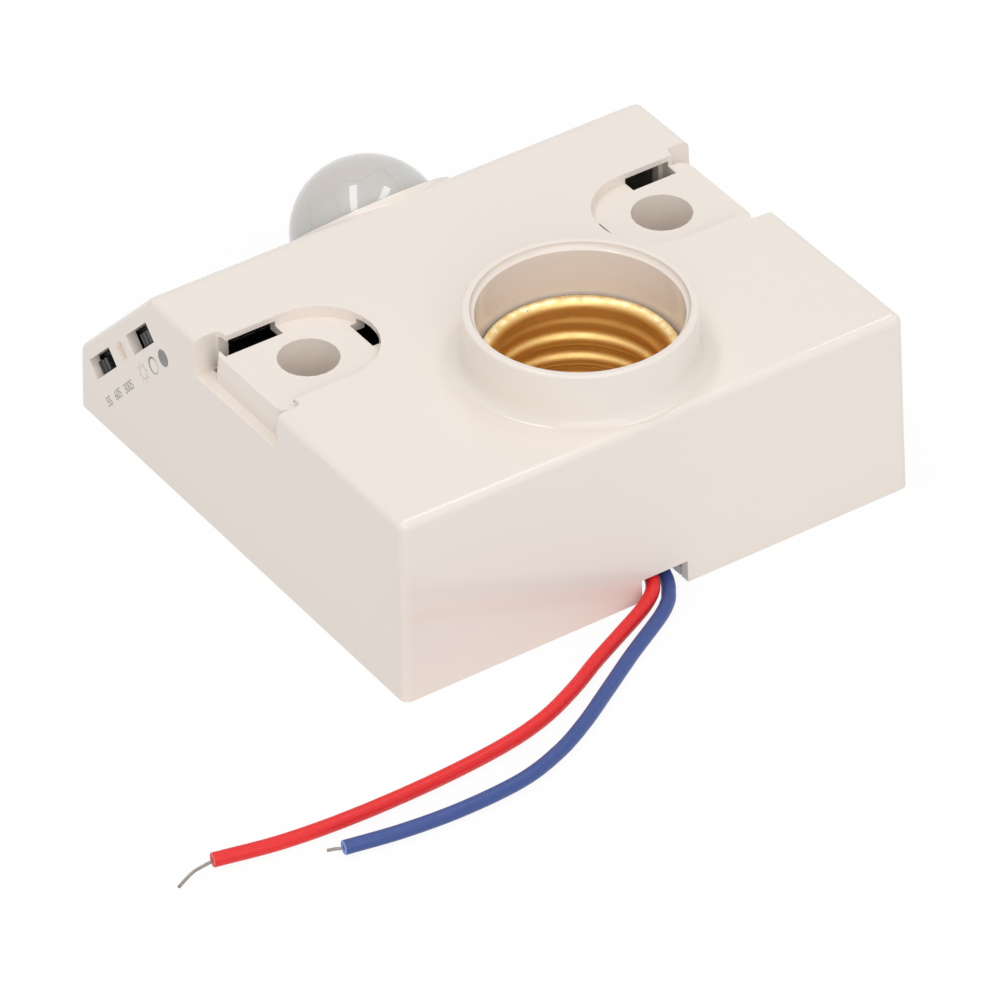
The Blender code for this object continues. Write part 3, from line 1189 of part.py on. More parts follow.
def build():
    for thing in list(bpy.data.objects):
        bpy.data.objects.remove(thing)
    ivory = material("ivory_plastic", (0.86, 0.80, 0.74), 0.28)
    insulator = material("insulator_plastic", (0.80, 0.76, 0.72), 0.4)
    brass = material("brass", (0.80, 0.55, 0.22), 0.28, 1.0)
    steel = material("zinc_plated_steel", (0.62, 0.62, 0.60), 0.35, 1.0)
    laminate = material("green_laminate", (0.03, 0.13, 0.07), 0.45)
    milky = material("milky_lens_plastic", (0.72, 0.72, 0.70), 0.35)
    can = material("nickel_can", (0.66, 0.65, 0.62), 0.25, 1.0)
    black = material("black_plastic", (0.03, 0.03, 0.03), 0.4)
    yellow = material("film_yellow", (0.75, 0.55, 0.08), 0.45)
    sleeve = material("capacitor_sleeve", (0.05, 0.06, 0.10), 0.35)
    disc_blue = material("disc_coating", (0.05, 0.14, 0.35), 0.5)
    resistor_coat = material("resistor_coating", (0.35, 0.45, 0.42), 0.5)
    cell = material("photocell_face", (0.55, 0.30, 0.14), 0.4)
    red = material("red_insulation", (0.84, 0.06, 0.05), 0.4)
    blue = material("blue_insulation", (0.05, 0.09, 0.33), 0.4)
    white = material("white_insulation", (0.75, 0.74, 0.72), 0.45)
    tinned = material("tinned_copper", (0.42, 0.39, 0.37), 0.35, 1.0)

    front_housing(ivory)
    back_cover(ivory)
    under_plate = DIMPLE_PLATE_H - COVER_T - GAP
    for number, side in enumerate((-1, 1), 1):
        place = Matrix.Translation((side * CORNER_X, -CORNER_Y, under_plate))
        screw(f"cover_screw_{number}", steel, COVER_SCREW_LENGTH, place)
        place = Matrix.Translation((side * LUG_X, COLLAR_Y, LUG_Z - GAP))
        screw(f"socket_screw_{number}", steel, SOCKET_SCREW_LENGTH, place)
        place = on_slope(side * SENSOR_BOSS_X, LENS_ALONG, -SENSOR_BOARD_UNDER - GAP)
        screw(f"sensor_screw_{number}", steel, SENSOR_SCREW_LENGTH, place)
        rivet(f"shell_rivet_{number}", brass, side * SHELL_RIVET_X, SHELL_FLOOR_Z + SHELL_T)
    for number, (x, y) in BOARD_BOSSES.items():
        place = Matrix.Translation((x, y, BOARD_Z - GAP))
        screw(f"board_screw_{number}", steel, BOARD_SCREW_LENGTH, place)

    socket_body(insulator)
    shell_rivet_holes(screw_shell(brass))
    centre_contact(brass)
    rivet("contact_rivet", brass, CONTACT_RIVET_X, CUP_FLOOR_Z + GAP + CONTACT_T)

    main_board(laminate)
    moulded_block("relay", black, RELAY_SIZE, RELAY_AT)
    moulded_block("film_capacitor", yellow, FILM_SIZE, FILM_AT)
    moulded_block("bridge_rectifier", black, BRIDGE_SIZE, BRIDGE_AT)
    can_capacitor("supply_capacitor", sleeve, SUPPLY_R, SUPPLY_H, SUPPLY_AT)
    can_capacitor("filter_capacitor", sleeve, FILTER_R, FILTER_H, FILTER_AT)
    varistor(disc_blue)
    fuse_resistor(resistor_coat)
    board_link(black)

    sensor_board(laminate)
    fresnel_lens(milky)
    lens_ring(insulator)
    pir_sensor(can)
    photocell(cell)
    control_chip(black)
    slide_switch("time", TIME_ALONG, steel, black, KNOB_TRAVEL / 2)
    slide_switch("lux", LUX_ALONG, steel, black, 0.0)

    line_inside = from_board(LINE_LEAD_X, WIRE_INNER_Z, SUPPLY_LEAD_REACH, LEAD_OVERLAP)
    line_inside += from_front(LINE_LEAD_BEND, WIRE_INNER_Z) + from_front(LINE_LEAD_END)
    neutral_inside = from_board(NEUTRAL_LEAD_X, WIRE_INNER_Z, SUPPLY_LEAD_REACH, LEAD_OVERLAP)
    neutral_inside += from_front(NEUTRAL_LEAD_BEND, WIRE_INNER_Z) + from_front(NEUTRAL_LEAD_END)
    wire("line_lead", red, line_inside, WIRE_R)
    wire("neutral_lead", blue, neutral_inside, WIRE_R)
    wire("line_wire", red, from_front(LINE_ROUTE), WIRE_R)
    wire("line_conductor", tinned, from_front(LINE_CORE_ROUTE), CORE_R)
    wire("neutral_wire", blue, from_front(NEUTRAL_ROUTE), WIRE_R)
    wire("neutral_conductor", tinned, from_front(NEUTRAL_CORE_ROUTE), CORE_R)
    socket_leads = {
        "contact_lead": (CONTACT_LEAD_X, CONTACT_LEAD_BEND), "shell_lead": (SHELL_LEAD_X, SHELL_LEAD_BEND),
    }
    for name, (x, bend) in socket_leads.items():
        route = from_board(x, LEAD_WIRE_Z, SOCKET_LEAD_REACH, LEAD_OVERLAP)
        wire(name, white, route + from_front(bend[::-1], LEAD_WIRE_Z), LEAD_WIRE_R)


build()
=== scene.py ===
"""Looks of the motion sensor lamp holder: finishes, fine detail, floor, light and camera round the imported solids."""
import math

import bmesh
import bpy
from mathutils import Matrix, Vector


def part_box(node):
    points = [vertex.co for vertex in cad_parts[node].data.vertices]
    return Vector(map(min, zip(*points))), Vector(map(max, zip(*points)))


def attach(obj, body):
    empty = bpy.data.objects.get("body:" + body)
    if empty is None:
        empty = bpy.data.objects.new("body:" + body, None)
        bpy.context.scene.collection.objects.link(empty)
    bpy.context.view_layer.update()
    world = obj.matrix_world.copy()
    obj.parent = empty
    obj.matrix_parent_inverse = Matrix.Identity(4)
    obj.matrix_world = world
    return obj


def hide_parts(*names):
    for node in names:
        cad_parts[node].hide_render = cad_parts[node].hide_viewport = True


MM = 0.001

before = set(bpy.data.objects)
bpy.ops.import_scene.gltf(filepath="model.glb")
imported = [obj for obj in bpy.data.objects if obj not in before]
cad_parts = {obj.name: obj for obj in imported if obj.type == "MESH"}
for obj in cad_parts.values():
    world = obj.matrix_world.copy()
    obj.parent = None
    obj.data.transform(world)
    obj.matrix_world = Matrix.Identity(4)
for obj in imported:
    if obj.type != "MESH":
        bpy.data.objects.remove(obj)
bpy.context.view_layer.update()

# Sizes shared with the solids, in metres

BASE_X = 90.0 * MM           # width of the housing's foot
HEIGHT = 31.44 * MM          # of the top face
DRAFT_X = 0.82 * MM          # inset of each side face at full height
COLLAR_Y = -24.6 * MM
COLLAR_R = 17.34 * MM
BORE_R = 15.52 * MM
BORE_FOOT = 28.0 * MM        # height at which the smooth bore ends
MOUTH_R = 16.14 * MM         # the bevel of the mouth, at its rim
MOUTH_DEPTH = 1.05 * MM
FOOT_WIDTH = 1.5 * MM        # fillet at the foot of the collar
FOOT_HEIGHT = 2.6 * MM
LIP_SHEEN_AND_WEAR_Z = 30.8 * MM       # the brass lip is painted pale above this height: a painted highlight on its top, with some wear
WIRE_R = 1.1 * MM
SLOPE_TOP = Vector((0.0, 23.99 * MM, HEIGHT))
SLOPE_DOWN = Vector((0.0, 0.705338, -0.708871))
SLOPE_OUT = Vector((0.0, 0.708871, 0.705338))
LENS_ALONG = 14.25 * MM
LENS_R = 12.0 * MM
LENS_DEPTH = 1.83 * MM       # centre of the dome below the sensor face


def slope_frame(origin):
    """Frame at a point: its x is the object's, its y runs down the sensor face, its z out of it."""
    turn = Matrix(((1.0, 0.0, 0.0), SLOPE_DOWN, SLOPE_OUT)).transposed().to_4x4()
    return Matrix.Translation(origin) @ turn


def add_object(name, data):
    thing = bpy.data.objects.new(name, data)
    bpy.context.scene.collection.objects.link(thing)
    return thing


# Camera, from the perspective fit of the photograph

CAMERA_PLACE = (-0.54640, -0.83961, 0.75400)
CAMERA_FORWARD = (0.43404, 0.66639, -0.60625)
CAMERA_RIGHT = (0.82970, -0.55788, -0.01919)
CAMERA_LENS = 303.55         # on a sensor 36 mm wide


def make_camera():
    """Set up the camera and return its forward, right and up directions."""
    forward = Vector(CAMERA_FORWARD).normalized()
    right = Vector(CAMERA_RIGHT).normalized()
    up = right.cross(forward)
    data = bpy.data.cameras.new("camera")
    data.sensor_width = 36.0
    data.lens = CAMERA_LENS
    data.clip_start = 0.01
    camera = add_object("camera", data)
    turn = Matrix((right, up, -forward)).transposed().to_4x4()
    camera.matrix_world = Matrix.Translation(CAMERA_PLACE) @ turn
    bpy.context.scene.camera = camera
    return forward, right, up


# Materials

def linear(red, green, blue):
    """Linear colour from the 0 to 255 screen values."""
    out = []
    for value in (red, green, blue):
        c = value / 255.0
        out.append(c / 12.92 if c <= 0.04045 else ((c + 0.055) / 1.055) ** 2.4)
    return tuple(out)


def shade(colour, factor):
    """Colour made lighter or darker by a factor."""
    return tuple(min(1.0, c * factor) for c in colour)


class Finish:
    """Principled material whose colour, roughness and bump all vary with procedural textures."""

    def __init__(self, name):
        self.material = bpy.data.materials.new(name)
        self.material.use_nodes = True
        self.tree = self.material.node_tree
        self.shader = self.tree.nodes["Principled BSDF"]
        self.coords = self.add("ShaderNodeTexCoord").outputs["Object"]

    def add(self, kind, **settings):
        node = self.tree.nodes.new(kind)
        for key, value in settings.items():
            setattr(node, key, value)
        return node

    def link(self, output, socket):
        self.tree.links.new(output, socket)

    def set(self, **values):
        for key, value in values.items():
            self.shader.inputs[key.replace("_", " ")].default_value = value

    def noise(self, scale, detail=3.0, stretch=None):
        """Noise in the object's own coordinates, in cycles per metre."""
        node = self.add("ShaderNodeTexNoise")
        node.inputs["Scale"].default_value = scale
        node.inputs["Detail"].default_value = detail
        source = self.coords
        if stretch:
            mapping = self.add("ShaderNodeMapping")
            mapping.inputs["Scale"].default_value = stretch
            self.link(source, mapping.inputs["Vector"])
            source = mapping.outputs["Vector"]
        self.link(source, node.inputs["Vector"])
        return node.outputs["Fac"]

    def span(self, value, low, high, start=0.3, end=0.7):
        """Value between start and end, carried over to the range from low to high."""
        node = self.add("ShaderNodeMapRange")
        node.inputs["From Min"].default_value = start
        node.inputs["From Max"].default_value = end
        node.inputs["To Min"].default_value = low
        node.inputs["To Max"].default_value = high
        self.link(value, node.inputs["Value"])
        return node.outputs["Result"]

    def mix(self, value, first, second):
        """Mix of two colours or outputs; sockets 6, 7 and 2 are the ones for colour."""
        node = self.add("ShaderNodeMix", data_type="RGBA")
        self.link(value, node.inputs["Factor"])
        for socket, colour in ((node.inputs[6], first), (node.inputs[7], second)):
            if isinstance(colour, tuple):
                socket.default_value = (*colour, 1.0)
            else:
                self.link(colour, socket)
        return node.outputs[2]

    def bump(self, value, distance, strength):
        node = self.add("ShaderNodeBump")
        node.inputs["Distance"].default_value = distance
        node.inputs["Strength"].default_value = strength
        self.link(value, node.inputs["Height"])
        return node.outputs["Normal"]

    def specks(self, scale, size, share):
        """Sparse small round specks: 1 inside a speck and 0 elsewhere."""
        cells = self.add("ShaderNodeTexVoronoi")
        cells.inputs["Scale"].default_value = scale
        self.link(self.coords, cells.inputs["Vector"])
        near = self.span(cells.outputs["Distance"], 1.0, 0.0, size * 0.6, size)
        pick = self.add("ShaderNodeSeparateColor")
        self.link(cells.outputs["Color"], pick.inputs["Color"])
        chosen = self.span(pick.outputs["Red"], 1.0, 0.0, share, share + 0.001)
        both = self.add("ShaderNodeMath", operation="MULTIPLY")
        self.link(near, both.inputs[0])
        self.link(chosen, both.inputs[1])
        return both.outputs["Value"]


def plastic(name, colour, roughness=0.3, grain=0.00002, tone=0.03, coarse=60.0, fine=2500.0, specks=None,
            spread=0.25):
    """Moulded plastic: slightly uneven tone, a fine skin and now and then a speck of dust."""
    finish = Finish(name)
    tint = finish.mix(finish.noise(coarse), shade(colour, 1.0 - tone), shade(colour, 1.0 + tone))
    if specks:
        scale, size, share, speck_colour = specks
        tint = finish.mix(finish.specks(scale, size, share), tint, speck_colour)
    finish.link(tint, finish.shader.inputs["Base Color"])
    finish.link(finish.span(finish.noise(fine * 0.25, 4.0), roughness * (1.0 - spread), roughness * (1.0 + spread)),
                finish.shader.inputs["Roughness"])
    finish.link(finish.bump(finish.noise(fine, 4.0), grain, 0.5), finish.shader.inputs["Normal"])
    return finish.material


def metal(name, colour, roughness=0.3, stretch=None, grain=0.00001, tone=0.12, fine=1500.0, lip=None):
    """Bare or plated metal with handling marks, brushed where stretch is given, and painted pale above the lip's
    height: a painted highlight on the lip's top, with some wear.
    """
    finish = Finish(name)
    finish.set(Metallic=1.0)
    cloud = finish.noise(180.0, 5.0, stretch)
    tint = finish.mix(cloud, shade(colour, 1.0 - tone), shade(colour, 1.0 + tone * 0.5))
    if lip:
        parts = finish.add("ShaderNodeSeparateXYZ")
        finish.link(finish.coords, parts.inputs["Vector"])
        sheen_and_wear = finish.add("ShaderNodeMath", operation="MULTIPLY")
        finish.link(finish.span(parts.outputs["Z"], 0.0, 1.0, lip, lip + 0.4 * MM), sheen_and_wear.inputs[0])
        finish.link(finish.span(finish.noise(700.0, 4.0), 0.2, 1.0, 0.4, 0.6), sheen_and_wear.inputs[1])
        # painted highlight: the lip's top, where the light falls, is painted pale in patches, partly wear
        tint = finish.mix(sheen_and_wear.outputs["Value"], tint, (0.98, 0.84, 0.52))
        tint = finish.mix(finish.specks(1100.0, 0.2, 0.04), tint, shade(colour, 0.6))
    finish.link(tint, finish.shader.inputs["Base Color"])
    finish.link(finish.span(finish.noise(fine * 0.4, 5.0, stretch), roughness * (1.0 - 2.0 * tone),
                            roughness * (1.0 + 3.0 * tone)), finish.shader.inputs["Roughness"])
    finish.link(finish.bump(finish.noise(fine, 5.0, stretch), grain, 0.6), finish.shader.inputs["Normal"])
    return finish.material


def laminate(name):
    """Green board with a woven base, copper traces under the varnish and pale solder pads."""
    finish = Finish(name)
    weave = finish.add("ShaderNodeTexBrick")
    weave.inputs["Scale"].default_value = 900.0
    weave.inputs["Color1"].default_value = (0.010, 0.060, 0.030, 1.0)
    weave.inputs["Color2"].default_value = (0.016, 0.078, 0.040, 1.0)
    weave.inputs["Mortar"].default_value = (0.008, 0.045, 0.024, 1.0)
    finish.link(finish.coords, weave.inputs["Vector"])
    wires = finish.add("ShaderNodeTexWave", wave_type="BANDS", bands_direction="DIAGONAL")
    wires.inputs["Scale"].default_value = 140.0
    wires.inputs["Distortion"].default_value = 6.0
    finish.link(finish.coords, wires.inputs["Vector"])
    trace = finish.span(wires.outputs["Fac"], 0.0, 1.0, 0.55, 0.62)
    tint = finish.mix(trace, weave.outputs["Color"], (0.022, 0.125, 0.055))
    pads = finish.specks(260.0, 0.24, 0.35)
    tint = finish.mix(pads, tint, (0.46, 0.46, 0.44))
    finish.link(tint, finish.shader.inputs["Base Color"])
    finish.link(finish.span(finish.noise(700.0), 0.28, 0.45), finish.shader.inputs["Roughness"])
    finish.link(finish.bump(trace, 0.00004, 0.8), finish.shader.inputs["Normal"])
    return finish.material


def lens_material(name):
    """Milky lens plastic: a smooth outer skin over the lens patches, which show as slightly greener fields, with
    painted shade as darker lines along their borders.
    """
    finish = Finish(name)
    patch = finish.add("ShaderNodeAttribute", attribute_name="patch").outputs["Fac"]
    line = finish.add("ShaderNodeAttribute", attribute_name="patch_edge_shade").outputs["Fac"]
    tint = finish.mix(patch, linear(206, 197, 192), linear(199, 198, 193))
    # painted shade along the patch borders, standing for the relief of the patch edges
    tint = finish.mix(line, tint, linear(176, 173, 169))
    cloud = finish.span(finish.noise(120.0, 2.0), 0.0, 0.3)
    finish.link(finish.mix(cloud, tint, linear(204, 194, 188)), finish.shader.inputs["Base Color"])
    finish.set(Subsurface_Weight=0.1, Subsurface_Scale=0.0005, Coat_Weight=1.0, Coat_Roughness=0.02, Coat_IOR=1.6)
    finish.shader.inputs["Subsurface Radius"].default_value = (1.0, 1.0, 1.0)
    finish.link(finish.span(finish.noise(900.0), 0.38, 0.44), finish.shader.inputs["Roughness"])
    finish.link(finish.bump(finish.noise(700.0), 0.000001, 0.5), finish.shader.inputs["Normal"])
    return finish.material


def wire_material(name, colour):
    """Extruded insulation: faint lengthwise streaks and a soft sheen."""
    finish = Finish(name)
    streak = finish.noise(900.0, 3.0)
    finish.link(finish.mix(streak, shade(colour, 0.93), shade(colour, 1.06)), finish.shader.inputs["Base Color"])
    finish.set(Subsurface_Weight=0.1, Subsurface_Scale=0.0006)
    finish.link(finish.span(finish.noise(1400.0), 0.34, 0.5), finish.shader.inputs["Roughness"])
    finish.link(finish.bump(finish.noise(3000.0, 3.0), 0.00003, 0.5), finish.shader.inputs["Normal"])
    return finish.material


IVORY = linear(246, 236, 227)
DUST = (240.0, 0.03, 0.05, linear(170, 160, 150))    # scale, size, share and colour of the specks


def make_materials():
    return {
        "ivory": plastic("ivory_gloss", IVORY, 0.14, grain=0.000001, tone=0.004, coarse=25.0, fine=2200.0,
                         specks=DUST, spread=0.06),
        "insulator": plastic("insulator_satin", linear(226, 221, 214), 0.42, 0.00003),
        "brass": metal("brass_rolled", (0.86, 0.575, 0.225), 0.44, grain=0.000001, tone=0.05, lip=LIP_SHEEN_AND_WEAR_Z),
        "zinc": metal("zinc_plate", (0.62, 0.62, 0.60), 0.34),
        "laminate": laminate("board_laminate"),
        "lens": lens_material("lens_milky"),
        "nickel": metal("nickel_can", (0.66, 0.65, 0.62), 0.22),
        "black": plastic("black_moulding", (0.022, 0.022, 0.022), 0.42, 0.00004, 0.2),
        "yellow": plastic("film_yellow", (0.72, 0.50, 0.07), 0.4, 0.00003, 0.06),
        "sleeve": plastic("can_sleeve", (0.030, 0.035, 0.060), 0.3, 0.00003, 0.15),
        "disc": plastic("disc_coating", (0.03, 0.10, 0.28), 0.5, 0.00008, 0.1),
        "resistor": plastic("resistor_coating", (0.30, 0.38, 0.35), 0.5, 0.00005, 0.08),
        "cell": plastic("photocell_resin", (0.50, 0.27, 0.12), 0.25, 0.00003, 0.2, coarse=900.0),
        "red": wire_material("red_insulation", linear(238, 33, 37)),
        "red_cut": plastic("red_cut_face", linear(240, 110, 108), 0.6, 0.00005, 0.08, coarse=1500.0),
        "blue": wire_material("blue_insulation", linear(58, 82, 148)),
        "blue_cut": plastic("blue_cut_face", linear(130, 160, 222), 0.6, 0.00005, 0.08, coarse=1500.0),
        "white": wire_material("white_insulation", linear(228, 226, 221)),
        "tinned": metal("tinned_strand", (0.30, 0.27, 0.25), 0.42, grain=0.00002, tone=0.2, fine=4000.0),
        "print": plastic("grey_print", linear(146, 144, 142), 0.55, 0.00002, 0.08, coarse=2000.0),
        # switch steel painted near black: painted shade, standing for the dark inside the windows
        "shade_painted_switch_steel": metal("shade_painted_steel", (0.035, 0.035, 0.035), 0.5, tone=0.1),
        # dark disc in the mouth of each cut wire: painted shade in the hole
        "hole_shade": plastic("hole_painted_shade", (0.05, 0.03, 0.03), 0.7),
    }


# Mesh helpers

def quarter(steps, first=0):
    """Angles of a quarter turn in equal steps."""
    return [math.pi / 2 * i / steps for i in range(first, steps + 1)]


def new_object(name, mesh, finish, place=None, smooth=32.0):
    mesh.shade_smooth()
    mesh.set_sharp_from_angle(angle=math.radians(smooth))
    thing = add_object(name, mesh)
    if place is not None:
        mesh.transform(place)
    if finish:
        mesh.materials.append(finish)
    return thing


def from_bmesh(name, bm, finish, place=None, smooth=32.0):
    bmesh.ops.recalc_face_normals(bm, faces=bm.faces)
    mesh = bpy.data.meshes.new(name)
    bm.to_mesh(mesh)
    bm.free()
    return new_object(name, mesh, finish, place, smooth)


def lathe(bm, profile, segments, at=(0.0, 0.0)):
    """Turned solid from a loop of (radius, z), or from a line that starts and ends on the axis."""
    rings = []
    for radius, z in profile:
        if radius == 0.0:
            rings.append([bm.verts.new((at[0], at[1], z))])
            continue
        turn = [2 * math.pi * i / segments for i in range(segments)]
        rings.append([bm.verts.new((at[0] + radius * math.cos(a), at[1] + radius * math.sin(a), z)) for a in turn])
    spans = list(zip(rings, rings[1:]))
    if len(rings[0]) > 1:
        spans.append((rings[-1], rings[0]))
    for first, second in spans:
        for i in range(segments):
            j = (i + 1) % segments
            if len(first) == 1:
                bm.faces.new((first[0], second[j], second[i]))
            elif len(second) == 1:
                bm.faces.new((first[i], first[j], second[0]))
            else:
                bm.faces.new((first[i], first[j], second[j], second[i]))


def plate(bm, outline, bottom, top):
    """Flat plate on an outline of (x, y)."""
    low = [bm.verts.new((x, y, bottom)) for x, y in outline]
    high = [bm.verts.new((x, y, top)) for x, y in outline]
    bm.faces.new(low)
    bm.faces.new(high)
    for i in range(len(low)):
        j = (i + 1) % len(low)
        bm.faces.new((low[i], low[j], high[j], high[i]))


def band_of_faces(bm, loops):
    """Faces between each ring of points and the next, and from the last back to the first."""
    for first, second in zip(loops, loops[1:] + loops[:1]):
        for i in range(len(first)):
            j = (i + 1) % len(first)
            bm.faces.new((first[i], first[j], second[j], second[i]))


def circle(radius, count, centre=(0.0, 0.0)):
    """Outline of a disc, as (x, y) points."""
    turn = [2 * math.pi * i / count for i in range(count)]
    return [(centre[0] + radius * math.cos(a), centre[1] + radius * math.sin(a)) for a in turn]


# Wires

# Middle lines in millimetres, from the cable opening to the cut end
LINE_POINTS = [
    (-0.75, -43.3, 2.35), (-1.2, -44.3, 2.2), (-2.1, -45.5, 1.95), (-3.6, -46.6, 1.6), (-6.0, -47.9, 1.3),
    (-10.7, -50.1, 1.12), (-17.4, -53.4, 1.12), (-24.1, -57.0, 1.12), (-31.5, -60.1, 1.12),
    (-40.0, -61.9, 1.12), (-52.0, -62.8, 1.12), (-65.2, -62.75, 1.12), (-76.7, -61.7, 1.12),
    (-87.1, -59.4, 1.12),
]
NEUTRAL_POINTS = [
    (1.8, -43.3, 1.45), (1.25, -44.7, 1.25), (0.3, -46.2, 1.12), (-1.2, -48.1, 1.12), (-4.4, -50.5, 1.12),
    (-12.3, -55.1, 1.12), (-19.8, -59.8, 1.12), (-27.1, -64.3, 1.12), (-33.8, -67.6, 1.12),
    (-41.5, -69.8, 1.12), (-51.7, -70.3, 1.12), (-61.5, -69.5, 1.12), (-70.5, -67.8, 1.12),
]


def wire_curve(name, points, radius, finish):
    """Round wire on a Bezier curve whose handles follow the neighbouring points, with its length."""
    knots = [Vector(p) * MM for p in points]
    ends = [knots[0] * 2 - knots[1]] + knots + [knots[-1] * 2 - knots[-2]]
    curve = bpy.data.curves.new(name, "CURVE")
    curve.dimensions = "3D"
    curve.bevel_depth = radius
    curve.bevel_resolution = 7
    curve.use_fill_caps = True
    curve.resolution_u = 10
    spline = curve.splines.new("BEZIER")
    spline.bezier_points.add(len(knots) - 1)
    for i, point in enumerate(spline.bezier_points):
        along = (ends[i + 2] - ends[i]) / 6
        point.co = knots[i]
        point.handle_left = knots[i] - along
        point.handle_right = knots[i] + along
    curve.materials.append(finish)
    return add_object(name, curve), curve.splines[0].calc_length()


def cut_face(name, points, finish, hole_shade):
    """Freshly cut end of a wire: a slightly domed ring with a dark disc in the mouth of the conductor, painted shade
    in the hole.
    """
    end, before = Vector(points[-1]) * MM, Vector(points[-2]) * MM
    axis = (end - before).normalized()
    place = Matrix.Translation(end) @ axis.to_track_quat("Z", "Y").to_matrix().to_4x4()
    bm = bmesh.new()
    r = WIRE_R
    lathe(bm, [(0.36 * MM, -0.1 * MM), (r * 0.985, -0.1 * MM), (r * 0.97, 0.05 * MM), (r * 0.9, 0.12 * MM),
               (r * 0.6, 0.16 * MM), (0.40 * MM, 0.10 * MM), (0.34 * MM, -0.02 * MM)], 36)
    ring = from_bmesh(name, bm, finish, place)
    bm = bmesh.new()
    # painted shade: a dark disc that stands for the shade in the hole
    lathe(bm, [(0.0, -0.08 * MM), (0.37 * MM, -0.08 * MM), (0.35 * MM, 0.0), (0.0, 0.0)], 24)
    hole = from_bmesh(name + "_core", bm, hole_shade, place)
    return [ring, hole]


def make_wires(look):
    """Insulation of both supply wires, each a cord with its cut face; their bare conductors are the imported ones."""
    red, red_length = wire_curve("line_wire_skin", LINE_POINTS, WIRE_R, look["red"])
    blue, blue_length = wire_curve("neutral_wire_skin", NEUTRAL_POINTS, WIRE_R, look["blue"])
    sets = (
        (red, red_length, LINE_POINTS, "line", "red_cut", "red_insulation"),
        (blue, blue_length, NEUTRAL_POINTS, "neutral", "blue_cut", "blue_insulation"),
    )
    for wire, length, points, name, cut, slot in sets:
        ends = cut_face(f"{name}_cut_face", points, look[cut], look["hole_shade"])
        for piece in ends:
            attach(piece, "holder")
        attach(wire, "holder")
        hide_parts(f"{name}_wire")


# Housing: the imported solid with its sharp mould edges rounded

def draw_in_collar(bm):
    """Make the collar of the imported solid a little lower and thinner, so that the smooth collar covers it."""
    middle = COLLAR_R - 0.9 * MM
    for vertex in bm.verts:
        away = Vector((vertex.co.x, vertex.co.y - COLLAR_Y))
        if vertex.co.z < HEIGHT + 0.06 * MM or away.length > COLLAR_R + FOOT_WIDTH:
            continue
        drawn = away * ((middle + (away.length - middle) * 0.75) / away.length)
        height = HEIGHT - 0.2 * MM + (vertex.co.z - HEIGHT) * 0.86
        vertex.co = (drawn.x, COLLAR_Y + drawn.y, height)


def collar(finish):
    """Round collar: filleted foot, rounded rim and a hollow bevel that leads down to the bore."""
    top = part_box("front_housing")[1].z
    rim, lip, bend, hollow, proud = 0.45 * MM, 0.12 * MM, 0.65, 0.13 * MM, 0.02 * MM
    outer, bore = COLLAR_R + proud, BORE_R - 0.07 * MM
    profile = [(bore, BORE_FOOT), (bore, top - MOUTH_DEPTH - lip)]
    for turn in quarter(4, 1):
        turn *= bend
        profile.append((bore + lip * (1 - math.cos(turn)), top - MOUTH_DEPTH - lip * (1 - math.sin(turn))))
    start = Vector(profile[-1])
    chord = Vector((MOUTH_R, top - 0.1 * MM)) - start
    across = Vector((chord.y, -chord.x)).normalized()
    for i in range(1, 13):
        t = i / 12
        profile.append(tuple(start + chord * t + across * (4 * t * (1 - t) * hollow)))
    profile += [(MOUTH_R + 0.03 * MM, top - 0.03 * MM), (MOUTH_R + 0.1 * MM, top)]
    for turn in quarter(8):
        profile.append((outer - rim * (1 - math.sin(turn)), top - rim * (1 - math.cos(turn))))
    foot = HEIGHT + proud
    for turn in quarter(20):
        profile.append((outer + FOOT_WIDTH * (1 - math.cos(turn)), foot + FOOT_HEIGHT * (1 - math.sin(turn))))
    root, sunk = outer - 0.4 * MM, HEIGHT - 0.3 * MM
    profile += [(outer + FOOT_WIDTH, sunk), (root, sunk), (root, BORE_FOOT)]
    bm = bmesh.new()
    lathe(bm, profile, 160, (0.0, COLLAR_Y))
    return from_bmesh("collar_ring", bm, finish, None, 40.0)


def rounded_copy(name, node, finish, width, segments=2, angle=30.0):
    """Copy of a solid with its flat faces merged and its mould edges rounded."""
    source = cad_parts[node]
    bm = bmesh.new()
    bm.from_mesh(source.data)
    bmesh.ops.remove_doubles(bm, verts=bm.verts, dist=0.000002)
    draw_in_collar(bm)
    bmesh.ops.dissolve_limit(bm, angle_limit=math.radians(0.6), verts=bm.verts, edges=bm.edges)
    piece = from_bmesh(name, bm, finish, None, angle)
    bevel = piece.modifiers.new("soft_edges", "BEVEL")
    bevel.limit_method = "ANGLE"
    bevel.angle_limit = math.radians(angle)
    bevel.width = width
    bevel.segments = segments
    bevel.harden_normals = True
    flat = piece.modifiers.new("flat_faces", "WEIGHTED_NORMAL")
    flat.keep_sharp = True
    return piece


# Lamp socket

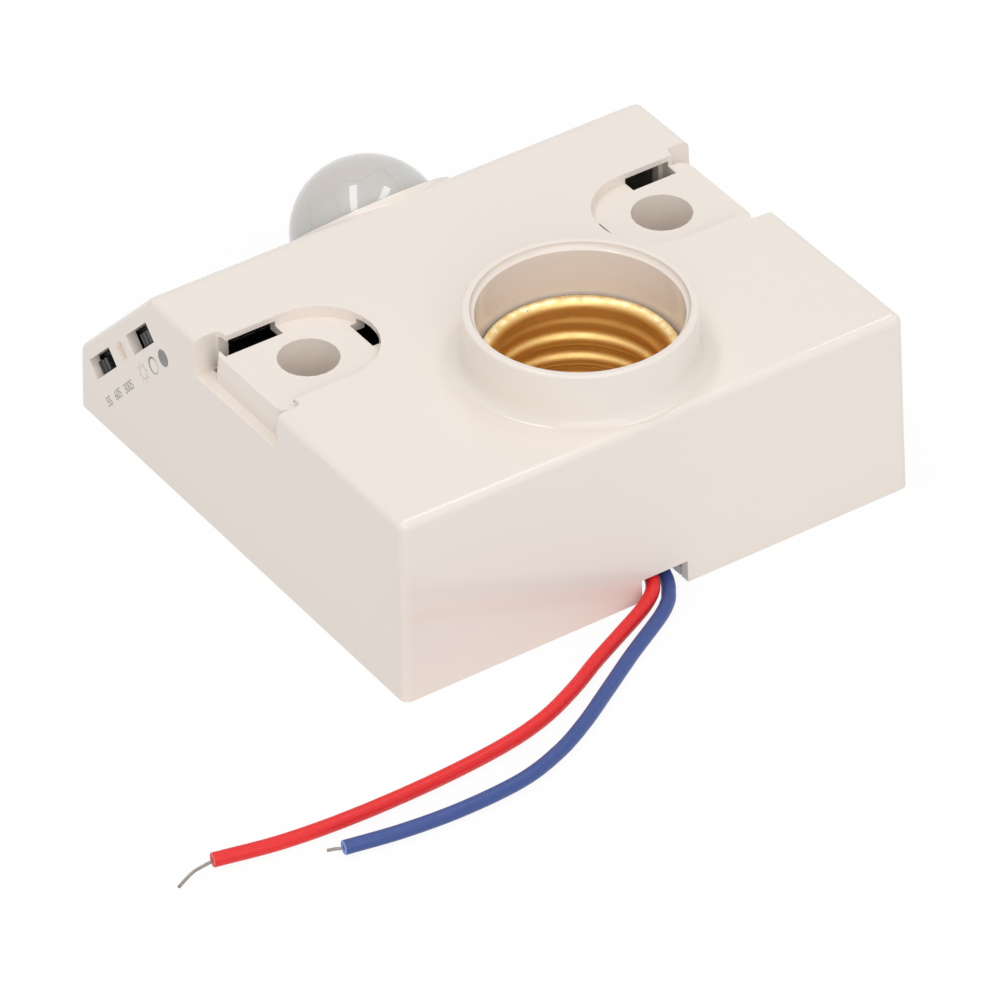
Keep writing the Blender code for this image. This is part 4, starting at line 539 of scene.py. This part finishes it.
def thread_shell(finish):
    """Rolled brass shell: flared lip, smooth right-handed thread that fades at both ends, inner flange."""
    pitch, crest_z, crest_angle = 3.629 * MM, 24.55 * MM, math.radians(56.9)
    throat, depth, thick = 13.35 * MM, 0.82 * MM, 0.35 * MM
    bend_r = (depth * depth + pitch * pitch / 4) / (4 * depth)
    lip_r, lip_z, top_z, end_z, floor_z = 14.87 * MM, 31.44 * MM, 30.0 * MM, 15.6 * MM, 7.85 * MM
    flange_r, bend = 8.0 * MM, 0.7 * MM
    rows = []
    for angle in quarter(8):
        r = lip_r - (lip_r - throat) * math.sin(angle)
        rows.append((r, lip_z - (lip_z - top_z) * (1 - math.cos(angle)), 0.0))
    steps = 132
    for i in range(1, steps + 1):
        t = i / steps
        fade = min(1.0, max(0.0, 5.0 * t - 0.4), 5.0 * (1.0 - t))
        rows.append((throat, top_z + (end_z - top_z) * t, fade * fade * (3 - 2 * fade)))
    for i in range(1, 5):
        rows.append((throat, end_z + (floor_z + bend - end_z) * i / 4, 0.0))
    for angle in quarter(4, 1):
        rows.append((throat - bend * (1 - math.cos(angle)), floor_z + bend * (1 - math.sin(angle)), 0.0))
    rows.append((flange_r, floor_z, 0.0))
    facets = 112
    bm = bmesh.new()

    def wave(turns):
        """Share of the thread depth on a profile of equal arcs, 1 on the crest and 0 in the root."""
        away = abs(turns - round(turns)) * pitch
        if away < pitch / 4:
            return 1.0 - (bend_r - math.sqrt(bend_r * bend_r - away * away)) / depth
        away = pitch / 2 - away
        return (bend_r - math.sqrt(bend_r * bend_r - away * away)) / depth

    def ring(radius, z, fade, grow, drop):
        verts = []
        for i in range(facets):
            angle = 2 * math.pi * i / facets
            turns = (z - crest_z) / pitch - (angle - crest_angle) / (2 * math.pi)
            r = radius - fade * depth * wave(turns) + grow
            verts.append(bm.verts.new((r * math.cos(angle), COLLAR_Y + r * math.sin(angle), z - drop)))
        return verts

    inner = [ring(r, z, fade, 0.0, 0.0) for r, z, fade in rows]
    outer = []
    for number, (r, z, fade) in enumerate(rows):
        lip, floor = number < 6, number > len(rows) - 3
        outer.append(ring(r, z, fade, 0.0 if lip or floor else thick, thick if lip or floor else 0.0))
    band_of_faces(bm, inner + outer[::-1])
    return from_bmesh("thread_shell", bm, finish, None, 60.0)


# Sensor lens

# Rows of patches round the dome: height, number, turn of the first and reach, in degrees, and their tone
PATCH_ROWS = ((2.0, 14, -103.3, 12.5, 0.5), (25.0, 14, -116.2, 13.5, 1.0), (47.0, 10, -98.0, 13.0, 0.45),
              (68.0, 5, -116.0, 12.5, 0.3), (90.0, 1, 0.0, 11.0, 0.4))


def lens_patches():
    """Direction of each patch's middle, its reach in degrees and its tone."""
    caps = []
    for height, count, first, reach, depth in PATCH_ROWS:
        rise = math.radians(height)
        for i in range(count):
            turn = math.radians(first + 360.0 * i / count)
            out = Vector((math.cos(rise) * math.cos(turn), math.cos(rise) * math.sin(turn), math.sin(rise)))
            caps.append((out, reach, depth))
    return caps


def lens_dome(finish):
    """Smooth dome with its flange; the tone of the patches and the painted shade along their borders are kept on its
    points.
    """
    centre = -LENS_DEPTH
    rows, segments, thick = 110, 260, 0.6 * MM
    flange_top, flange_bottom, flange_r = -2.0 * MM, -3.0 * MM, 13.8 * MM
    caps = lens_patches()
    bm = bmesh.new()
    inner_r = LENS_R - thick
    profile = [(0.0, centre + LENS_R)]
    for i in range(1, rows + 1):
        a = math.pi / 2 * (1 - i / rows)
        profile.append((LENS_R * math.cos(a), centre + LENS_R * math.sin(a)))
    profile += [(LENS_R, flange_top), (flange_r, flange_top), (flange_r, flange_bottom), (inner_r, flange_bottom)]
    profile += [(inner_r * math.cos(a), centre + inner_r * math.sin(a)) for a in quarter(12)[:-1]]
    profile.append((0.0, centre + inner_r))
    lathe(bm, profile, segments)
    bmesh.ops.recalc_face_normals(bm, faces=bm.faces)
    mesh = bpy.data.meshes.new("lens_dome")
    bm.to_mesh(mesh)
    bm.free()
    middle_point = Vector((0.0, 0.0, centre))
    patch = mesh.attributes.new("patch", "FLOAT", "POINT")
    line = mesh.attributes.new("patch_edge_shade", "FLOAT", "POINT")
    edge, bridged, edge_shade_tone = 1.2, 8.0, 0.55      # border width and widest gap that is closed, in degrees
    for i, vertex in enumerate(mesh.vertices):
        out = (vertex.co - middle_point).normalized()
        reached = sorted((reach - math.degrees(out.angle(middle)), depth) for middle, reach, depth in caps)
        (second, next_depth), (nearest, depth) = reached[-2:]
        border = max(0.0, 1.0 - (nearest - second) / edge)
        joined = min(1.0, max(0.0, (nearest + second + bridged) / (2 * edge) + 0.5))
        patch.data[i].value = (depth + (next_depth - depth) * border / 2) * joined
        # painted shade: a darker line along each patch border
        line.data[i].value = border * joined * max(depth, next_depth) * edge_shade_tone
    place = slope_frame(SLOPE_TOP) @ Matrix.Translation((0.0, LENS_ALONG, 0.0))
    return new_object("lens_dome", mesh, finish, place, 40.0)


# Setting knobs and the printed scale

PRINT_TURN = 48.0       # the numbers follow the row of windows
PRINT_WIDTH = 0.85
SUN_AT, RING_AT, DISC_AT = (25.8, 16.9), (22.9, 19.9), (20.1, 22.9)      # y and z in millimetres
NUMBERS = (("5S", (35.9, 5.5)), ("60S", (33.3, 8.4)), ("300S", (30.2, 11.6)))


def slide_knob(name, node, finish):
    """Ribbed slider on the place of its solid."""
    low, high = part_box(node)
    middle = (low + high) / 2
    points = [v.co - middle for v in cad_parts[node].data.vertices]
    half_y = max(SLOPE_DOWN.dot(p) for p in points)
    half_z = max(SLOPE_OUT.dot(p) for p in points)
    length = high.x - low.x
    place = slope_frame((low.x, middle.y, middle.z))
    bm = bmesh.new()
    ribs, groove = 5, 0.1 * MM
    for i in range(ribs):
        near = -half_y + 2 * half_y * i / ribs
        far = near + 2 * half_y / ribs
        deep = groove if i % 2 else 0.0
        outline = [(deep, near), (length, near), (length, far), (deep, far)]
        plate(bm, outline, -half_z, half_z)
    bmesh.ops.remove_doubles(bm, verts=bm.verts, dist=0.000001)
    piece = from_bmesh(name, bm, finish, place)
    bevel = piece.modifiers.new("soft_edges", "BEVEL")
    bevel.width = 0.08 * MM
    bevel.segments = 2
    bevel.limit_method = "ANGLE"
    return piece


def left_face(at):
    """Frame on the left side: its x runs towards the front, its y up and its z out of the wall."""
    y, z = at[0] * MM, at[1] * MM
    lean = math.atan(DRAFT_X / HEIGHT)
    turn = Matrix(((0.0, -1.0, 0.0), (math.sin(lean), 0.0, math.cos(lean)), (-math.cos(lean), 0.0, math.sin(lean))))
    wall = BASE_X / 2 - DRAFT_X * z / HEIGHT
    return Matrix.Translation((-wall, y, z)) @ turn.transposed().to_4x4()


def printed_scale(finish):
    """Print below the windows: a sun, an uneven ring and a disc for the light level, plain numbers for the time."""
    ink = 0.012 * MM
    pieces = []
    bm = bmesh.new()
    sun_r, sun_inner_r = 1.05 * MM, 0.98 * MM
    lathe(bm, [(sun_r, 0.0), (sun_r, ink), (sun_inner_r, ink), (sun_inner_r, 0.0)], 40)
    for i in range(8):
        turn = Matrix.Rotation(math.pi * i / 4, 2)
        corners = [(1.3, -0.05), (1.65, -0.05), (1.65, 0.05), (1.3, 0.05)]
        plate(bm, [tuple(turn @ Vector((x * MM, y * MM))) for x, y in corners], 0.0, ink)
    pieces.append(from_bmesh("print_sun", bm, finish, left_face(SUN_AT)))
    bm = bmesh.new()
    mark_r = 1.4 * MM
    loops = (circle(mark_r, 48), circle(1.17 * MM, 48, (0.14 * MM, 0.0)))
    low = [[bm.verts.new((x, y, 0.0)) for x, y in loop] for loop in loops]
    high = [[bm.verts.new((x, y, ink)) for x, y in loop] for loop in loops]
    band_of_faces(bm, [low[0], high[0], high[1], low[1]])
    pieces.append(from_bmesh("print_ring", bm, finish, left_face(RING_AT)))
    bm = bmesh.new()
    plate(bm, circle(mark_r, 40), 0.0, ink)
    pieces.append(from_bmesh("print_disc", bm, finish, left_face(DISC_AT)))
    for number, (label, at) in enumerate(NUMBERS):
        text = bpy.data.curves.new(f"print_number_{number}", "FONT")
        text.body = label
        text.size = 2.15 * MM
        text.extrude = ink / 2
        text.align_x = "CENTER"
        text.align_y = "CENTER"
        text.materials.append(finish)
        thing = add_object(f"print_number_{number}", text)
        lean = Matrix.Rotation(math.radians(PRINT_TURN), 4, "Z") @ Matrix.Diagonal((PRINT_WIDTH, 1.0, 1.0, 1.0))
        thing.matrix_world = left_face(at) @ Matrix.Translation((0.0, 0.0, ink / 2)) @ lean
        pieces.append(thing)
    return pieces


# Screws

HEAD_H = 1.4 * MM
CORE_R = 0.92 * MM
TIP_H = 2.4 * MM


def screw_body(name, length, place, finish):
    """Pan head with a cross drive, core and tip."""
    head_r, dome_h, rim_h = 2.5 * MM, 0.62 * MM, 0.75 * MM
    bm = bmesh.new()
    profile = [(0.0, 0.0)]
    profile += [(head_r * math.sin(a) * 0.98, dome_h * (1 - math.cos(a))) for a in quarter(8, 1)]
    profile += [(head_r, rim_h), (head_r, HEAD_H), (CORE_R, HEAD_H), (CORE_R, length - TIP_H), (0.0, length)]
    lathe(bm, profile, 40)
    body = from_bmesh(name, bm, finish, place)
    cross = bmesh.new()
    arm, half = 1.5 * MM, 0.3 * MM
    shape = [(arm, -half), (arm, half), (half, half), (half, arm), (-half, arm), (-half, half),
             (-arm, half), (-arm, -half), (-half, -half), (-half, -arm), (half, -arm), (half, -half)]
    plate(cross, shape, -1.0 * MM, 0.85 * MM)
    tool = from_bmesh(name + "_drive", cross, finish, place)
    cut = body.modifiers.new("drive", "BOOLEAN")
    cut.object = tool
    cut.solver = "EXACT"
    bpy.context.view_layer.objects.active = body
    with bpy.context.temp_override(object=body, active_object=body):
        bpy.ops.object.modifier_apply(modifier=cut.name)
    bpy.data.objects.remove(tool)
    return body


def screw_thread(name, length, place, finish):
    """Helical thread that fades at both ends and narrows with the tip."""
    pitch, start, end, steps = 1.1 * MM, HEAD_H + 0.5 * MM, length - 1.2 * MM, 20
    outer, flank = 1.25 * MM, 0.28 * MM
    coil = bmesh.new()
    count = int((end - start) / pitch * steps)
    previous = None
    for i in range(count + 1):
        angle = 2 * math.pi * i / steps
        z = start + pitch * i / steps
        taper = min(1.0, (count - i) / steps + 0.1, i / steps * 2 + 0.2)
        reach = CORE_R * min(1.0, max(0.2, (length - z) / TIP_H))
        tip = reach + (outer - CORE_R) * taper
        direction = Vector((math.cos(angle), math.sin(angle), 0.0))
        corners = ((reach * 0.9, z - flank), (tip, z), (reach * 0.9, z + flank))
        section = [coil.verts.new(direction * r + Vector((0.0, 0.0, h))) for r, h in corners]
        if previous:
            for a in range(3):
                b = (a + 1) % 3
                coil.faces.new((previous[a], previous[b], section[b], section[a]))
        else:
            coil.faces.new(section)
        previous = section
    coil.faces.new(previous)
    return from_bmesh(name, coil, finish, place, 40.0)


def threaded_screw(name, node, finish):
    """Pan-head self-tapping screw, head down, in the place of its solid."""
    low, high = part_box(node)
    foot = ((low.x + high.x) / 2, (low.y + high.y) / 2, low.z)
    place = Matrix.Translation(foot) @ Vector((0.0, 0.0, 1.0)).to_track_quat("Z", "Y").to_matrix().to_4x4()
    body = screw_body(name, high.z - low.z, place, finish)
    return body, screw_thread(name + "_thread", high.z - low.z, place, finish)


# Floor, light and background

WHITE = (1.0, 1.0, 1.0, 1.0)


def backdrop_output(tree, kind, share, lit, white):
    """Output of a backdrop that lights the object, but shows the camera and the object's gloss a share of white."""
    path = tree.nodes.new("ShaderNodeLightPath")
    either = tree.nodes.new("ShaderNodeMath")
    either.operation = "MAXIMUM"
    scaled = tree.nodes.new("ShaderNodeMath")
    scaled.operation = "MULTIPLY"
    scaled.inputs[1].default_value = share
    mixer = tree.nodes.new("ShaderNodeMixShader")
    out = tree.nodes.new(kind)
    tree.links.new(path.outputs["Is Camera Ray"], either.inputs[0])
    tree.links.new(path.outputs["Is Glossy Ray"], either.inputs[1])
    tree.links.new(either.outputs["Value"], scaled.inputs[0])
    tree.links.new(scaled.outputs["Value"], mixer.inputs[0])
    tree.links.new(lit, mixer.inputs[1])
    tree.links.new(white, mixer.inputs[2])
    tree.links.new(mixer.outputs["Shader"], out.inputs["Surface"])


def glowing(tree, kind, output, strength):
    """Output of a plain white emitter."""
    node = tree.nodes.new(kind)
    node.inputs["Color"].default_value = WHITE
    node.inputs["Strength"].default_value = strength
    return node.outputs[output]


def make_floor():
    half, low, high = 3.0, -0.02, -0.00002
    bm = bmesh.new()
    plate(bm, [(-half, -half), (half, -half), (half, half), (-half, half)], low, high)
    material = bpy.data.materials.new("floor_white")
    material.use_nodes = True
    tree = material.node_tree
    tree.nodes.clear()
    matte = tree.nodes.new("ShaderNodeBsdfDiffuse")
    matte.inputs["Color"].default_value = (0.88, 0.88, 0.88, 1.0)
    white = glowing(tree, "ShaderNodeEmission", "Emission", 1.02)
    backdrop_output(tree, "ShaderNodeOutputMaterial", 0.9, matte.outputs["BSDF"], white)
    floor = from_bmesh("floor", bm, material)


def make_world():
    world = bpy.data.worlds.new("studio")
    bpy.context.scene.world = world
    world.use_nodes = True
    tree = world.node_tree
    tree.nodes.clear()
    fill = glowing(tree, "ShaderNodeBackground", "Background", 0.50)
    white = glowing(tree, "ShaderNodeBackground", "Background", 1.0)
    backdrop_output(tree, "ShaderNodeOutputWorld", 1.0, fill, white)


def area_light(name, direction, distance, width, height, power, upright):
    """Lamp that faces the object from a direction, its height along the upright."""
    data = bpy.data.lights.new(name, "AREA")
    data.shape = "RECTANGLE"
    data.size = width
    data.size_y = height
    data.energy = power
    light = add_object(name, data)
    z = direction.normalized()
    y = (upright - z * upright.dot(z)).normalized()
    x = y.cross(z)
    light.matrix_world = Matrix.Translation(z * distance) @ Matrix((x, y, z)).transposed().to_4x4()


def make_lights(forward, right, up):
    """Two strips overhead, which show in the gloss, and a soft lamp near the camera."""
    area_light("strip_left", right * -0.325 + up * 0.755 - forward * 0.57, 1.1, 0.18, 0.80, 2.1,
               right * 0.04 + up * 0.61 + forward * 0.79)
    area_light("strip_right", right * 0.34 + up * 0.818 - forward * 0.465, 1.1, 0.17, 0.50, 1.2,
               right * 0.17 + up * 0.43 + forward * 0.885)
    area_light("front_soft", right * 0.15 - forward, 2.0, 1.8, 1.8, 13.5, up)


# The whole scene

NODE_LOOKS = {
    "ivory": ["back_cover"],
    "insulator": ["socket_body", "lens_ring"],
    "brass": ["centre_contact", "shell_rivet_1", "shell_rivet_2", "contact_rivet"],
    # the switches get steel painted dark as shade
    "shade_painted_switch_steel": ["time_switch", "lux_switch"],
    "zinc": ["socket_screw_1", "socket_screw_2", "sensor_screw_1", "sensor_screw_2",
             "board_screw_1", "board_screw_2", "board_screw_3"],
    "laminate": ["main_board", "sensor_board"],
    "nickel": ["pir_sensor"],
    "black": ["relay", "bridge_rectifier", "board_link", "control_chip"],
    "yellow": ["film_capacitor"],
    "sleeve": ["supply_capacitor", "filter_capacitor"],
    "disc": ["varistor"],
    "resistor": ["fuse_resistor"],
    "cell": ["photocell"],
    "red": ["line_lead"],
    "blue": ["neutral_lead"],
    "white": ["contact_lead", "shell_lead"],
    "tinned": ["line_conductor", "neutral_conductor"],
}


def seat(piece, slot, body="holder", *nodes):
    """Tie a piece to its body, and put it in the place of the named nodes; the slot is not used."""
    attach(piece, body)
    if nodes:
        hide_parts(*nodes)
    return piece


def dress(look):
    """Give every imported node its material, and add the pieces with finer forms."""
    for key, names in NODE_LOOKS.items():
        for name in names:
            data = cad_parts[name].data
            data.materials.clear()
            data.materials.append(look[key])
    seat(rounded_copy("housing_shell", "front_housing", look["ivory"], 0.28 * MM), "ivory", "holder", "front_housing")
    seat(collar(look["ivory"]), "ivory")
    seat(thread_shell(look["brass"]), "brass", "holder", "screw_shell")
    seat(lens_dome(look["lens"]), "milky_plastic", "holder", "fresnel_lens")
    seat(slide_knob("time_slider", "time_knob", look["black"]), "black_plastic", "time_setting", "time_knob")
    seat(slide_knob("lux_slider", "lux_knob", look["black"]), "black_plastic", "lux_setting", "lux_knob")
    for piece in printed_scale(look["print"]):
        seat(piece, "ivory")
    for number in (1, 2):
        body, thread = threaded_screw(f"cover_fastener_{number}", f"cover_screw_{number}", look["zinc"])
        seat(body, "zinc_steel", "holder", f"cover_screw_{number}")
        seat(thread, "zinc_steel")


view_axes = make_camera()
looks = make_materials()
make_wires(looks)
make_floor()
make_world()
make_lights(*view_axes)
dress(looks)

scene = bpy.context.scene
scene.view_settings.view_transform = "Standard"
bpy.context.view_layer.update()
